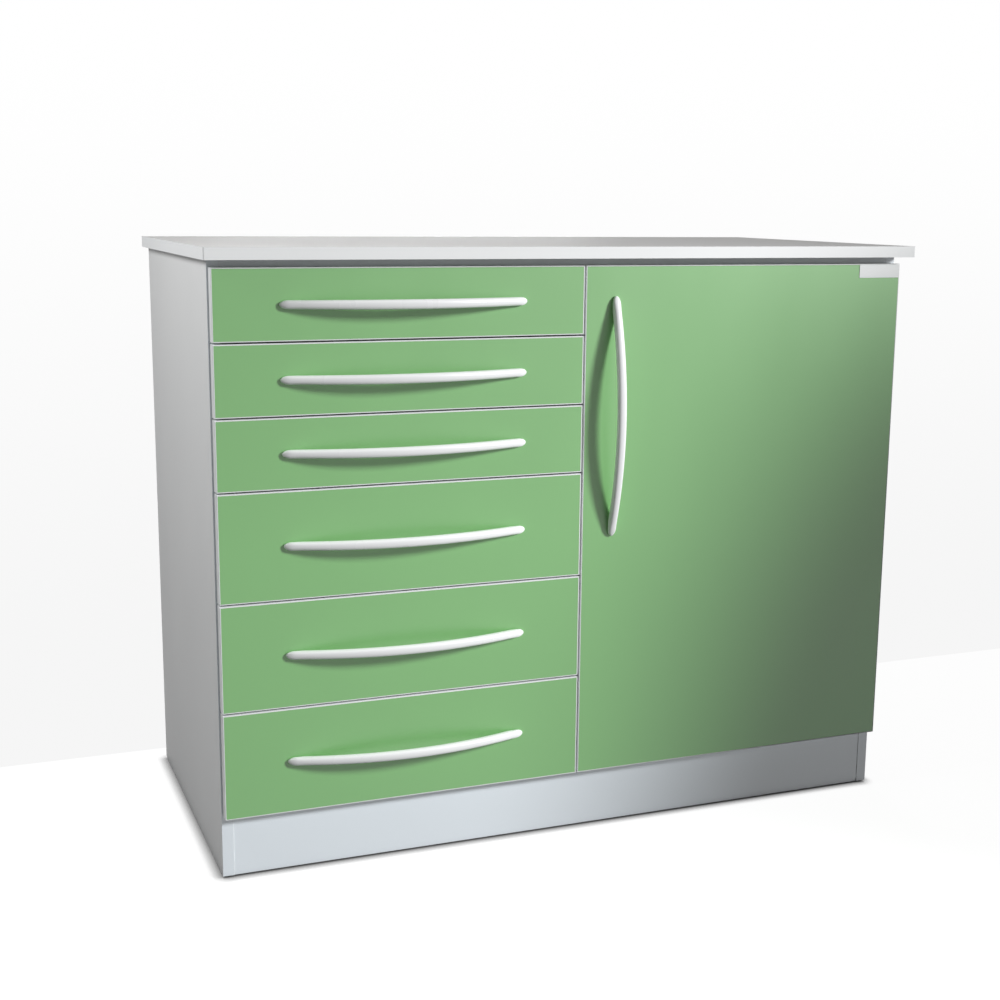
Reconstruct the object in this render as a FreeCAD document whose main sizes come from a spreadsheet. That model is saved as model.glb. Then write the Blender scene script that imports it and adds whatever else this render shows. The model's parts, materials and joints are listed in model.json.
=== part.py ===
import FreeCAD, Part
import Sketcher
import math
import os

# Floor-standing clinic base cabinet: six drawers on telescopic runners at the left, a cupboard
# with one hinged door at the right, under a shared worktop. Millimetres, +Z up, front towards -Y.
# The origin is on the floor, in the middle of the whole cabinet's footprint, handles included.

DRAWER_COUNT = 6
SMALL_DRAWER_COUNT = 3
HINGE_COUNT = 2

SIZES = (
    # Whole cabinet
    ("total_height", 850.0, "floor to the top of the worktop"),
    ("worktop_width", 1050.0, "worktop, left to right"),
    ("worktop_thickness", 16.0, "worktop board"),
    ("worktop_side_overhang", 10.0, "worktop past each side panel"),
    ("worktop_nosing", 38.0, "worktop past the front edges of the side panels"),
    ("worktop_corner", 2.0, "rounding of the worktop's upright corners"),
    ("carcass_depth", 490.0, "side panels, front to back"),
    ("board", 16.0, "laminated board of the carcass and fronts"),
    # Carcass details
    ("glide_height", 3.0, "floor glide under a side panel"),
    ("glide_diameter", 14.0, "floor glide"),
    ("spike_width", 3.0, "square glide spike driven into the panel"),
    ("spike_length", 14.0, "glide spike above the glide"),
    ("glide_inset", 40.0, "glide centre from the panel's front or back edge"),
    ("plinth_height", 88.0, "top of the plinth board above the floor"),
    ("plinth_recess", 1.0, "plinth board behind the side panels' front edges"),
    ("rail_depth", 90.0, "top rail, front to back"),
    ("back_thickness", 3.0, "hardboard back"),
    ("back_inset", 12.0, "hardboard back in front of the panels' rear edges"),
    ("groove_depth", 6.0, "grooves for the back and the drawer bottoms"),
    ("groove_clearance", 0.2, "groove wider than the sheet that sits in it"),
    # Shelf and its pins
    ("shelf_height", 440.0, "underside of the shelf above the floor"),
    ("shelf_setback", 30.0, "shelf's front edge behind the carcass front"),
    ("shelf_clearance", 1.5, "shelf to the panel at each end"),
    ("pin_diameter", 5.0, "shelf pin"),
    ("pin_clearance", 0.1, "pin hole larger than the pin, on radius"),
    ("pin_depth", 9.0, "shelf pin inside the panel"),
    ("pin_drop", 6.0, "shelf pin's middle under the shelf"),
    ("tongue_reach", 9.0, "shelf pin's tongue out of the panel, under the shelf"),
    ("tongue_width", 10.0, "shelf pin's tongue and upright leaf"),
    ("tongue_gauge", 1.6, "sheet of the tongue and the leaf"),
    ("leaf_height", 12.0, "leaf against the panel, from the shelf's underside down"),
    ("hole_depth", 11.0, "shelf pin hole"),
    ("hole_pitch", 32.0, "one shelf pin hole to the next"),
    ("hole_inset", 60.0, "row of holes behind the carcass front or before the back"),
    # Fronts
    ("front_gap", 2.0, "back of a closed front to the carcass"),
    ("front_joint", 2.2, "gap between neighbouring fronts"),
    ("front_side_reveal", 2.0, "outer edge of a front inside the carcass side"),
    ("front_bottom_reveal", 2.5, "lowest front above the plinth board"),
    ("front_top_reveal", 10.0, "highest front below the worktop"),
    ("small_front_height", 94.3, "front of a shallow drawer, the deep ones share the rest"),
    ("edging", 1.5, "edge band round a front"),
    # Bow handles
    ("handle_length", 340.0, "bow handle, end to end"),
    ("handle_reach", 35.0, "bow handle's outer face out of the front"),
    ("handle_thickness", 11.0, "bow at its middle, square to the front"),
    ("handle_width", 13.0, "bow at its middle, across"),
    ("handle_tip_width", 11.0, "bow at its rounded ends"),
    ("handle_tip_height", 5.5, "bow's outer face above the front, at its ends"),
    ("handle_foot", 22.0, "length of each foot that lies on the front"),
    ("handle_rounding", 3.5, "rounding of the bow's long edges"),
    ("door_handle_inset", 45.0, "door handle's middle line from the door's free edge"),
    ("door_handle_drop", 42.0, "top of the door handle below the door's top"),
    # Drawer boxes
    ("box_lift", 18.0, "underside of a drawer box above its front's lower edge"),
    ("box_drop", 13.5, "top of a drawer box below its front's upper edge"),
    ("bottom_thickness", 3.0, "hardboard drawer bottom"),
    ("bottom_lift", 5.0, "drawer bottom above the lower edges of the sides"),
    # Telescopic runners
    ("runner_length", 450.0, "closed runner, and the drawer box that it carries"),
    ("runner_height", 45.0, "cabinet member, across"),
    ("runner_space", 13.0, "drawer box to the panel beside it"),
    ("runner_gauge", 1.2, "steel sheet of the runner"),
    ("runner_lip", 2.6, "turned-in lip of a member"),
    ("runner_setback", 2.0, "runner's front end behind the carcass front"),
    ("runner_centre", 31.0, "runner's middle line above the drawer box's underside"),
    ("cabinet_member_reach", 9.6, "cabinet member out of the panel"),
    ("middle_member_lift", 1.9, "back of the middle member out of the panel"),
    ("middle_member_reach", 11.2, "lips of the middle member out of the panel"),
    ("middle_member_shortfall", 30.0, "middle member shorter than the others"),
    ("drawer_member_reach", 8.0, "drawer member out of the drawer's side"),
    ("running_gap", 0.3, "gap between runner members"),
    # Concealed hinges
    ("hinge_inset", 100.0, "hinge's middle line from the door's lower and upper edges"),
    ("cup_bore_diameter", 35.0, "bore in the door for the hinge cup"),
    ("cup_bore_depth", 12.0, "bore in the door for the hinge cup"),
    ("cup_edge_distance", 22.0, "cup's middle from the door's hinged edge"),
    ("cup_clearance", 0.1, "cup in its bore, on radius"),
    ("cup_depth", 11.5, "hinge cup"),
    ("cup_wall", 1.0, "hinge cup's wall and flange"),
    ("flange_diameter", 39.0, "flange round the cup"),
    ("wing_length", 62.0, "flange from screw ear to screw ear"),
    ("wing_width", 14.0, "screw ear of the flange"),
    ("link_pivot_edge", 34.5, "arm's pivot from the door's hinged edge"),
    ("link_pivot_depth", 8.0, "arm's pivot in front of the closed door's back"),
    ("knuckle_edge", 10.5, "cup's knuckle from the door's hinged edge"),
    ("knuckle_depth", 4.0, "cup's knuckle in front of the closed door's back"),
    ("knuckle_diameter", 3.0, "cup's knuckle between the links"),
    ("knuckle_width", 9.4, "knuckle and arm nose, along the hinge's axis"),
    ("link_play", 0.3, "links to what they turn beside, and pin to its bore on radius"),
    ("link_thickness", 2.0, "link, along the hinge's axis"),
    ("link_height", 2.4, "link, across"),
    ("link_eye_diameter", 4.0, "link's rounded end at the pivot pin"),
    ("link_length", 23.5, "pivot pin to the link's free tip"),
    ("link_tilt", 4.0, "knuckle nearer the door's back than the pivot pin"),
    ("pivot_pin_diameter", 1.6, "pin from link to link through the arm's nose"),
    ("nose_diameter", 4.4, "arm's nose round the pivot pin"),
    ("arm_width", 15.0, "hinge arm, along the hinge's axis"),
    ("arm_length", 60.0, "hinge arm behind the carcass front"),
    ("arm_thickness", 5.0, "hinge arm"),
    ("arm_rise", 9.0, "arm above the side panel, where it is screwed on"),
    ("nose_back", 5.0, "arm's nose reaches this far behind the carcass front"),
    ("bend_start", 4.4, "arm's bend begins this far behind the carcass front"),
    ("bend_end", 20.0, "arm's bend ends this far behind the carcass front"),
    ("arm_tail", 5.0, "arm's rear end past its saddle"),
    ("plate_thickness", 2.5, "mounting plate on the side panel"),
    ("plate_length", 44.0, "mounting plate, front to back"),
    ("plate_width", 32.0, "mounting plate, along the hinge's axis"),
    ("saddle_width", 9.0, "saddle between the plate and the arm"),
)

# Holes of each row for the shelf pins, an odd number so that the shelf sits in the middle one
SYSTEM_HOLES = 3

# Sections of half a bow handle: shares of the way from its middle to where its foot begins
BOW_SHARES = (0, 0.25, 0.5, 0.75, 1)
# Sections of a foot's rounded tip: shares of its length, width and height, and of the rounding
FOOT_SHARES = ((0, 1, 1, 0.7), (0.7, 0.8, 0.9, 0.55), (1, 0.45, 0.6, 0.3))
# Ends of the flats that round one corner: shares of the rounding, sideways and outwards
CORNER_SHARES = ((0, 1), (0.7, 0.7), (1, 0))
QUARTER_TURN = 90

# Two lengths nearer than this count as equal
TOUCH = 0.01


class Size:
    """A length that keeps both its number and the sheet formula it comes from."""

    def __init__(self, formula, value):
        self.formula = formula
        self.value = value

    def __add__(self, other):
        other = sized(other)
        return Size("(%s + %s)" % (self.formula, other.formula), self.value + other.value)

    def __radd__(self, other):
        return sized(other) + self

    def __sub__(self, other):
        other = sized(other)
        return Size("(%s - %s)" % (self.formula, other.formula), self.value - other.value)

    def __rsub__(self, other):
        return sized(other) - self

    def __mul__(self, other):
        other = sized(other)
        return Size("(%s * %s)" % (self.formula, other.formula), self.value * other.value)

    def __rmul__(self, other):
        return sized(other) * self

    def __truediv__(self, other):
        other = sized(other)
        return Size("(%s / %s)" % (self.formula, other.formula), self.value / other.value)

    def __neg__(self):
        return sized(0) - self


def root(size):
    """Square root of a size."""
    return Size("sqrt(%s)" % size.formula, math.sqrt(size.value))


def sized(number):
    """A plain number as a size, and a size as it is."""
    if isinstance(number, Size):
        return number
    return Size(str(number), float(number))


class Sheet:
    """The driving sizes, read as sheet.alias."""

    def __init__(self, document, table):
        self.cells = document.addObject("Spreadsheet::Sheet", "Sizes")
        self.names = {}
        for row, (alias, number, meaning) in enumerate(table, start=1):
            self.cells.set("A%d" % row, meaning)
            self.cells.set("B%d" % row, str(number))
            self.cells.setAlias("B%d" % row, alias)
            self.names[alias] = Size("Sizes.%s" % alias, number)

    def __getattr__(self, alias):
        return self.names[alias]


doc = FreeCAD.newDocument("clinic_cabinet")
s = Sheet(doc, SIZES)
doc.recompute()

nodes = []


# Shared places

carcass_width = s.worktop_width - 2 * s.worktop_side_overhang
outer_right = carcass_width / 2
outer_left = -outer_right
inner_right = outer_right - s.board
inner_left = outer_left + s.board
partition_half = s.board / 2

front_stack = s.front_gap + s.board + s.handle_reach
carcass_front = front_stack - (s.carcass_depth + front_stack) / 2
carcass_back = carcass_front + s.carcass_depth
fronts_back = carcass_front - s.front_gap
fronts_face = fronts_back - s.board
back_panel_rear = carcass_back - s.back_inset
back_panel_front = back_panel_rear - s.back_thickness

worktop_underside = s.total_height - s.worktop_thickness
rail_underside = worktop_underside - s.board
floor_board_top = s.plinth_height + s.board
fronts_bottom = s.plinth_height + s.front_bottom_reveal

front_column_height = worktop_underside - s.front_top_reveal - fronts_bottom
front_joints = (DRAWER_COUNT - 1) * s.front_joint
small_fronts = SMALL_DRAWER_COUNT * s.small_front_height
large_front_height = ((front_column_height - front_joints - small_fronts)
                      / (DRAWER_COUNT - SMALL_DRAWER_COUNT))

drawer_front_left = outer_left + s.front_side_reveal
drawer_front_right = -s.front_joint / 2
door_left = s.front_joint / 2
door_right = outer_right - s.front_side_reveal

drawer_opening = -partition_half - inner_left
drawer_middle = (inner_left - partition_half) / 2
box_half_width = drawer_opening / 2 - s.runner_space


# Drawing helpers

def origin_feature(body, role):
    """The body's own origin plane or axis with this role."""
    for feature in body.Origin.OriginFeatures:
        if feature.Role == role:
            return feature
    raise ValueError(role)


def new_body(label, x=0, y=0, z=0):
    """A body placed by sizes from the sheet."""
    body = doc.addObject("PartDesign::Body", label)
    body.Label = label
    place(body, x, y, z)
    return body


def place(piece, x=0, y=0, z=0):
    """Tie a piece's placement to the sheet."""
    for letter, length in (("x", x), ("y", y), ("z", z)):
        piece.setExpression("Placement.Base.%s" % letter, sized(length).formula)


def new_sketch(body, role, offset=0):
    """A sketch on an origin plane, moved along the plane's normal."""
    sketch = body.newObject("Sketcher::SketchObject", body.Label + "_sketch")
    sketch.AttachmentSupport = [(origin_feature(body, role), "")]
    sketch.MapMode = "FlatFace"
    sketch.setExpression("AttachmentOffset.Base.z", sized(offset).formula)
    return sketch


def dimension(sketch, kind, edge, point, length):
    """Dimension one sketch point from the sketch's origin."""
    length = sized(length)
    index = sketch.addConstraint(Sketcher.Constraint(kind, -1, 1, edge, point, length.value))
    sketch.setExpression("Constraints[%d]" % index, length.formula)


def draw(sketch, corners, arcs=None):
    """A closed outline through the corners.

    A round edge has a level or upright chord. arcs gives its centre, measured square to the
    chord, and 1 where it turns left or -1 where it turns right.
    """
    arcs = arcs or {}
    first = sketch.GeometryCount
    count = len(corners)
    flat = [(sized(x).value, sized(y).value) for x, y in corners]
    starts = [1] * count
    ends = [2] * count
    for index, (ax, ay) in enumerate(flat):
        bx, by = flat[(index + 1) % count]
        if index not in arcs:
            line = Part.LineSegment(FreeCAD.Vector(ax, ay, 0), FreeCAD.Vector(bx, by, 0))
            sketch.addGeometry(line, False)
            continue
        centre, side = arcs[index]
        middle = FreeCAD.Vector((ax + bx) / 2, (ay + by) / 2, 0)
        if is_level(flat, index):
            middle.y = sized(centre).value
        else:
            middle.x = sized(centre).value
        angle_a = math.atan2(ay - middle.y, ax - middle.x)
        angle_b = math.atan2(by - middle.y, bx - middle.x)
        if side < 0:
            angle_a, angle_b = angle_b, angle_a
            starts[index], ends[index] = 2, 1
        radius = math.hypot(ax - middle.x, ay - middle.y)
        circle = Part.Circle(middle, FreeCAD.Vector(0, 0, 1), radius)
        sketch.addGeometry(Part.ArcOfCircle(circle, angle_a, angle_b), False)
    for index in range(count):
        following = (index + 1) % count
        sketch.addConstraint(Sketcher.Constraint(
            "Coincident", first + index, ends[index], first + following, starts[following]))
    for index, (x, y) in enumerate(corners):
        dimension(sketch, "DistanceX", first + index, starts[index], x)
        dimension(sketch, "DistanceY", first + index, starts[index], y)
    for index, (centre, side) in arcs.items():
        kind = "DistanceY" if is_level(flat, index) else "DistanceX"
        dimension(sketch, kind, first + index, 3, centre)


def is_level(flat, index):
    """True where the edge from this corner runs level in the sketch."""
    ay = flat[index][1]
    by = flat[(index + 1) % len(flat)][1]
    return abs(by - ay) < TOUCH


def draw_rectangle(sketch, x0, x1, y0, y1):
    """A rectangle between two corners."""
    draw(sketch, ((x0, y0), (x1, y0), (x1, y1), (x0, y1)))


def draw_circle(sketch, x, y, diameter):
    """A full circle."""
    index = sketch.GeometryCount
    x = sized(x)
    y = sized(y)
    centre = FreeCAD.Vector(x.value, y.value, 0)
    sketch.addGeometry(Part.Circle(centre, FreeCAD.Vector(0, 0, 1), diameter.value / 2), False)
    dimension(sketch, "DistanceX", index, 3, x)
    dimension(sketch, "DistanceY", index, 3, y)
    row = sketch.addConstraint(Sketcher.Constraint("Diameter", index, diameter.value))
    sketch.setExpression("Constraints[%d]" % row, diameter.formula)


def pad(body, sketch, length, reverse=False, both_ways=False):
    """Raise a sketch along its normal, against it, or half each way."""
    feature = body.newObject("PartDesign::Pad", body.Label + "_pad")
    feature.Profile = sketch
    feature.Reversed = reverse
    if both_ways:
        feature.SideType = "Symmetric"
    feature.setExpression("Length", sized(length).formula)
    return feature


def pocket(body, sketch, length, along_normal=False):
    """Cut a sketch into the body, and make sure that it cuts."""
    doc.recompute()
    before = body.Shape.Volume
    feature = body.newObject("PartDesign::Pocket", body.Label + "_pocket")
    feature.Profile = sketch
    feature.Reversed = along_normal
    feature.setExpression("Length", sized(length).formula)
    doc.recompute()
    if not feature.Shape.Volume < before:
        raise RuntimeError("%s cuts nothing" % feature.Label)
    return feature


def pattern(body, originals, axis_role, spacing, count):
    """Repeat features along an origin axis."""
    feature = body.newObject("PartDesign::LinearPattern", body.Label + "_row")
    feature.Originals = originals
    feature.Direction = (origin_feature(body, axis_role), [""])
    feature.Occurrences = count
    feature.setExpression("Length", (sized(spacing) * (count - 1)).formula)
    body.Tip = feature
    return feature


def mirror(body, originals):
    """Repeat features on the other side of the body's own middle plane."""
    feature = body.newObject("PartDesign::Mirrored", body.Label + "_mirror")
    feature.Originals = originals
    feature.MirrorPlane = (origin_feature(body, "YZ_Plane"), [""])
    body.Tip = feature
    return feature


def board(label, x0, x1, y0, y1, z0, z1):
    """A plain rectangular board."""
    piece = doc.addObject("Part::Box", label)
    piece.Label = label
    piece.setExpression("Length", (x1 - x0).formula)
    piece.setExpression("Width", (y1 - y0).formula)
    piece.setExpression("Height", (z1 - z0).formula)
    place(piece, x0, y0, z0)
    return piece


def group(label, pieces):
    """Separate solids that share one node."""
    compound = doc.addObject("Part::Compound", label)
    compound.Label = label
    compound.Links = pieces
    return compound


# Carcass

def make_worktop():
    body = new_body("worktop", z=worktop_underside)
    sketch = new_sketch(body, "XY_Plane")
    half = s.worktop_width / 2
    draw_rectangle(sketch, -half, half, carcass_front - s.worktop_nosing, carcass_back)
    top = pad(body, sketch, s.worktop_thickness)
    doc.recompute()
    upright = [name for name, edge in edges_of(top)
               if abs(edge.BoundBox.ZLength - s.worktop_thickness.value) < TOUCH]
    round_edges(body, top, upright, s.worktop_corner)
    return body


def edges_of(feature):
    """The feature's edges with their names."""
    return [("Edge%d" % number, edge) for number, edge in enumerate(feature.Shape.Edges, start=1)]


def round_edges(body, feature, names, radius):
    """Fillet the named edges of a feature."""
    fillet = body.newObject("PartDesign::Fillet", body.Label + "_fillet")
    fillet.Base = (feature, names)
    fillet.setExpression("Radius", sized(radius).formula)
    return fillet


def drill(body, role, offset, centres, diameter, depth, along_normal):
    """Blind round holes from a plane."""
    sketch = new_sketch(body, role, offset)
    for x, y in centres:
        draw_circle(sketch, x, y, diameter)
    return pocket(body, sketch, depth, along_normal)


def glide_rows():
    return (carcass_front + s.glide_inset, carcass_back - s.glide_inset)


def draw_spikes(sketch, middle):
    """The square spikes of the two glides under a side panel."""
    half = s.spike_width / 2
    for row in glide_rows():
        draw_rectangle(sketch, middle - half, middle + half, row - half, row + half)


def pin_rows():
    return (carcass_front + s.hole_inset, back_panel_front - s.hole_inset)


def pin_height():
    return s.shelf_height - s.pin_drop


def drill_pin_rows(body, face, along_normal):
    """Rows of shelf pin holes, one of them at the shelf."""
    lowest = pin_height() - (SYSTEM_HOLES // 2) * s.hole_pitch
    centres = [(row, lowest) for row in pin_rows()]
    hole = s.pin_diameter + 2 * s.pin_clearance
    first = drill(body, "YZ_Plane", face, centres, hole, s.hole_depth, along_normal)
    pattern(body, [first], "Z_Axis", s.hole_pitch, SYSTEM_HOLES)


def make_side_panel(label, outer, inner, towards_right):
    """A side panel with the groove for the back and the holes for its glides.

    The right one also has the holes for the shelf pins.
    """
    body = new_body(label)
    sketch = new_sketch(body, "YZ_Plane", inner)
    draw_rectangle(sketch, carcass_front, carcass_back, s.glide_height, worktop_underside)
    pad(body, sketch, s.board, reverse=not towards_right)
    groove = new_sketch(body, "YZ_Plane", inner)
    slack = s.groove_clearance / 2
    draw_rectangle(groove, back_panel_front - slack, back_panel_rear + slack,
                   s.glide_height, worktop_underside)
    pocket(body, groove, s.groove_depth, along_normal=towards_right)
    middle = (outer + inner) / 2
    sockets = new_sketch(body, "XY_Plane", s.glide_height)
    draw_spikes(sockets, middle)
    pocket(body, sockets, s.spike_length, along_normal=True)
    if towards_right:
        drill_pin_rows(body, inner, along_normal=True)
    return body


def make_partition():
    """The upright board between the drawers and the cupboard."""
    body = new_body("partition_panel")
    sketch = new_sketch(body, "YZ_Plane")
    draw_rectangle(sketch, carcass_front, back_panel_front, floor_board_top, rail_underside)
    pad(body, sketch, s.board, both_ways=True)
    drill_pin_rows(body, partition_half, along_normal=False)
    return body


def make_plain_boards():
    """Bottom board, plinth board, the two top rails, hardboard back and shelf."""
    floor_board = board("bottom_panel", inner_left, inner_right, carcass_front, back_panel_front,
                        s.plinth_height, floor_board_top)
    plinth_front = carcass_front + s.plinth_recess
    plinth = board("plinth_board", inner_left, inner_right, plinth_front, plinth_front + s.board,
                   s.glide_height, s.plinth_height)
    front_rail = board("front_rail", inner_left, inner_right, carcass_front,
                       carcass_front + s.rail_depth, rail_underside, worktop_underside)
    rear_rail = board("rear_rail", inner_left, inner_right, back_panel_front - s.rail_depth,
                      back_panel_front, rail_underside, worktop_underside)
    rails = group("top_rails", [front_rail, rear_rail])
    tongue = s.groove_depth - s.groove_clearance
    back = board("back_panel", inner_left - tongue, inner_right + tongue,
                 back_panel_front, back_panel_rear, s.plinth_height, worktop_underside)
    shelf = board("shelf", partition_half + s.shelf_clearance, inner_right - s.shelf_clearance,
                  carcass_front + s.shelf_setback, back_panel_front,
                  s.shelf_height, s.shelf_height + s.board)
    return [floor_board, plinth, rails, back, shelf]


def make_shelf_pins():
    """Four pins in the holes of the panels, each with a leaf and a tongue under the shelf."""
    panel = (inner_right - partition_half) / 2
    body = new_body("shelf_pins", x=(inner_right + partition_half) / 2, z=pin_height())
    shank = new_sketch(body, "YZ_Plane", panel)
    for row in pin_rows():
        draw_circle(shank, row, 0, s.pin_diameter)
    parts = [pad(body, shank, s.pin_depth)]
    leaf_face = panel - s.tongue_gauge
    tip = panel - s.tongue_reach
    low = s.pin_drop - s.leaf_height
    for row in pin_rows():
        angle = new_sketch(body, "XZ_Plane", -row)
        draw(angle,
             ((leaf_face, low), (panel, low), (panel, s.pin_drop), (tip, s.pin_drop),
              (tip, s.pin_drop - s.tongue_gauge), (leaf_face, s.pin_drop - s.tongue_gauge)))
        parts.append(pad(body, angle, s.tongue_width, both_ways=True))
    mirror(body, parts)
    return body


def make_floor_glides():
    """Nail-in glides under the side panels."""
    body = new_body("floor_glides")
    disc = new_sketch(body, "XY_Plane")
    spike = new_sketch(body, "XY_Plane", s.glide_height)
    middle = outer_right - s.board / 2
    for row in glide_rows():
        draw_circle(disc, middle, row, s.glide_diameter)
    draw_spikes(spike, middle)
    discs = pad(body, disc, s.glide_height)
    spikes = pad(body, spike, s.spike_length)
    mirror(body, [discs, spikes])
    return body


# Fronts and handles

def make_front(label, x0, x1, height, bottom):
    """The laminated board of a front and the edge band round it."""
    core = new_body(label, z=bottom)
    sketch = new_sketch(core, "XZ_Plane", -fronts_back)
    draw_rectangle(sketch, x0 + s.edging, x1 - s.edging, s.edging, height - s.edging)
    pad(core, sketch, s.board)
    band = new_body(label.replace("_front", "").replace("_panel", "") + "_edging", z=bottom)
    ring = new_sketch(band, "XZ_Plane", -fronts_back)
    draw_rectangle(ring, x0, x1, 0, height)
    draw_rectangle(ring, x0 + s.edging, x1 - s.edging, s.edging, height - s.edging)
    pad(band, ring, s.board)
    return core, band


def bow_radius(half_chord, rise):
    """Radius of an arc from half its chord and its rise."""
    return (half_chord * half_chord + rise * rise) / (2 * rise)


def bow_height(rise, radius, station):
    """Height of an arc above its chord, some way along from its middle."""
    return rise - radius + root(radius * radius - station * station)


def handle_section(body, station, inner, outer, width, rounding):
    """One section of the bow, square to its length, each corner rounded by short flats."""
    sketch = new_sketch(body, "YZ_Plane", station)
    side = width / 2 - rounding
    low = inner + rounding
    high = outer - rounding
    corners = []
    for out, up in CORNER_SHARES:
        corners.append((-high - rounding * up, -side - rounding * out))
    for out, up in reversed(CORNER_SHARES):
        corners.append((-low + rounding * up, -side - rounding * out))
    for out, up in CORNER_SHARES:
        corners.append((-low + rounding * up, side + rounding * out))
    for out, up in reversed(CORNER_SHARES):
        corners.append((-high - rounding * up, side + rounding * out))
    draw(sketch, corners)
    return sketch


def bow_sections():
    """Station, inner and outer height, width and rounding of the sections of half a bow."""
    half = s.handle_length / 2
    hollow = half - s.handle_foot
    tip_start = half - s.handle_tip_width / 2
    inner_rise = s.handle_reach - s.handle_thickness
    outer_rise = s.handle_reach - s.handle_tip_height
    inner_radius = bow_radius(hollow, inner_rise)
    outer_radius = bow_radius(half, outer_rise)
    taper = s.handle_width - s.handle_tip_width
    sections = []
    for share in BOW_SHARES:
        station = hollow * share
        inner = bow_height(inner_rise, inner_radius, station)
        outer = s.handle_tip_height + bow_height(outer_rise, outer_radius, station)
        sections.append((station, inner, outer, s.handle_width - taper * share * share,
                         s.handle_rounding))
    for along_share, width_share, height_share, rounding_share in FOOT_SHARES:
        station = tip_start + (half - tip_start) * along_share
        outer = s.handle_tip_height + bow_height(outer_rise, outer_radius, station)
        sections.append((station, sized(0), outer * height_share,
                         s.handle_tip_width * width_share,
                         s.handle_rounding * rounding_share))
    return sections


def make_handle_pattern():
    """A slim bow whose rounded ends lie on the front as feet, level and round the origin."""
    body = new_body("handle_pattern")
    half = bow_sections()
    both = [(-station, *rest) for station, *rest in reversed(half[1:])] + half
    sketches = [handle_section(body, *section) for section in both]
    loft = body.newObject("PartDesign::AdditiveLoft", "handle_loft")
    loft.Profile = sketches[0]
    loft.Sections = sketches[1:]
    loft.Ruled = True
    return body


def make_handle(label, pattern_body, x, z, upright=False):
    """A bow handle on a front."""
    handle = group(label, [pattern_body])
    if upright:
        handle.Placement.Rotation = FreeCAD.Rotation(FreeCAD.Vector(0, 1, 0), QUARTER_TURN)
    place(handle, x, fronts_face, z)
    return handle


# Drawers

def front_height(number):
    """Height of a drawer's front, counted from the top."""
    return s.small_front_height if number <= SMALL_DRAWER_COUNT else large_front_height


def front_bottom(number):
    """Lower edge of a drawer's front, counted from the top."""
    bottom = fronts_bottom
    for below in range(number + 1, DRAWER_COUNT + 1):
        bottom = bottom + front_height(below) + s.front_joint
    return bottom


def make_drawer_box(number, box_height, underside):
    """Four boards round a hardboard bottom that slides in grooves of the sides."""
    name = "drawer_%d" % number
    groove_top = s.bottom_lift + s.bottom_thickness + s.groove_clearance
    inside = box_half_width - s.board
    sides = new_body(name + "_sides", x=drawer_middle, z=underside)
    sketch = new_sketch(sides, "XZ_Plane", -fronts_back)
    draw(sketch,
         ((inside, 0), (box_half_width, 0), (box_half_width, box_height), (inside, box_height),
          (inside, groove_top), (inside + s.groove_depth, groove_top),
          (inside + s.groove_depth, s.bottom_lift), (inside, s.bottom_lift)))
    mirror(sides, [pad(sides, sketch, s.runner_length, reverse=True)])
    box_back = fronts_back + s.runner_length
    rest = underside + s.bottom_lift + s.bottom_thickness
    ends = []
    for label, y0, y1 in ((name + "_inner_front", fronts_back, fronts_back + s.board),
                          (name + "_box_back", box_back - s.board, box_back)):
        ends.append(board(label, drawer_middle - inside, drawer_middle + inside, y0, y1,
                          rest, underside + box_height))
    box = group(name + "_box", [sides] + ends)
    tongue = inside + s.groove_depth - s.groove_clearance
    bottom = board(name + "_bottom", drawer_middle - tongue, drawer_middle + tongue,
                   fronts_back, box_back, underside + s.bottom_lift, rest)
    return [box, bottom]


def channel(sketch, back, lips, half_height):
    """Section of a rolled channel with turned-in lips, open from its back towards its lips."""
    gauge = s.runner_gauge if lips.value > back.value else -s.runner_gauge
    inside = half_height - s.runner_gauge
    tip = half_height - s.runner_lip
    draw(sketch,
         ((back, -half_height), (lips, -half_height), (lips, -tip), (lips - gauge, -tip),
          (lips - gauge, -inside), (back + gauge, -inside), (back + gauge, inside),
          (lips - gauge, inside), (lips - gauge, tip), (lips, tip),
          (lips, half_height), (back, half_height)))


def make_runner_pair(label, back, lips, half_height, length, start, height):
    """The same member of the left and the right runner of one drawer."""
    body = new_body(label, x=drawer_middle, z=height)
    sketch = new_sketch(body, "XZ_Plane", -start)
    channel(sketch, back, lips, half_height)
    member = pad(body, sketch, length, reverse=True)
    mirror(body, [member])
    return body


def make_runners(number, underside):
    """Cabinet, middle and drawer members of one drawer's two runners."""
    name = "drawer_%d" % number
    panel = -drawer_opening / 2
    start = carcass_front + s.runner_setback
    height = underside + s.runner_centre
    outer_half = s.runner_height / 2
    middle_half = outer_half - s.runner_lip - s.running_gap
    inner_half = middle_half - s.runner_lip - s.running_gap
    fixed = make_runner_pair(name + "_cabinet_runner", panel, panel + s.cabinet_member_reach,
                             outer_half, s.runner_length, start, height)
    middle = make_runner_pair(name + "_runner_middles", panel + s.middle_member_lift,
                              panel + s.middle_member_reach, middle_half,
                              s.runner_length - s.middle_member_shortfall,
                              start + s.middle_member_shortfall / 2, height)
    box_side = panel + s.runner_space
    moving = make_runner_pair(name + "_runners", box_side, box_side - s.drawer_member_reach,
                              inner_half, s.runner_length, start, height)
    return fixed, middle, moving


# Door and hinges

def make_door():
    """The door, its edge band, and the two bores for the hinge cups."""
    core, band = make_front("door_panel", door_left, door_right, front_column_height, fronts_bottom)
    cup = (door_right - s.cup_edge_distance, s.hinge_inset)
    bore = drill(core, "XZ_Plane", -fronts_back, [cup], s.cup_bore_diameter, s.cup_bore_depth, True)
    pattern(core, [bore], "Z_Axis", hinge_spacing(), HINGE_COUNT)
    return core, band


def hinge_spacing():
    return (front_column_height - 2 * s.hinge_inset) / (HINGE_COUNT - 1)


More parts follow.
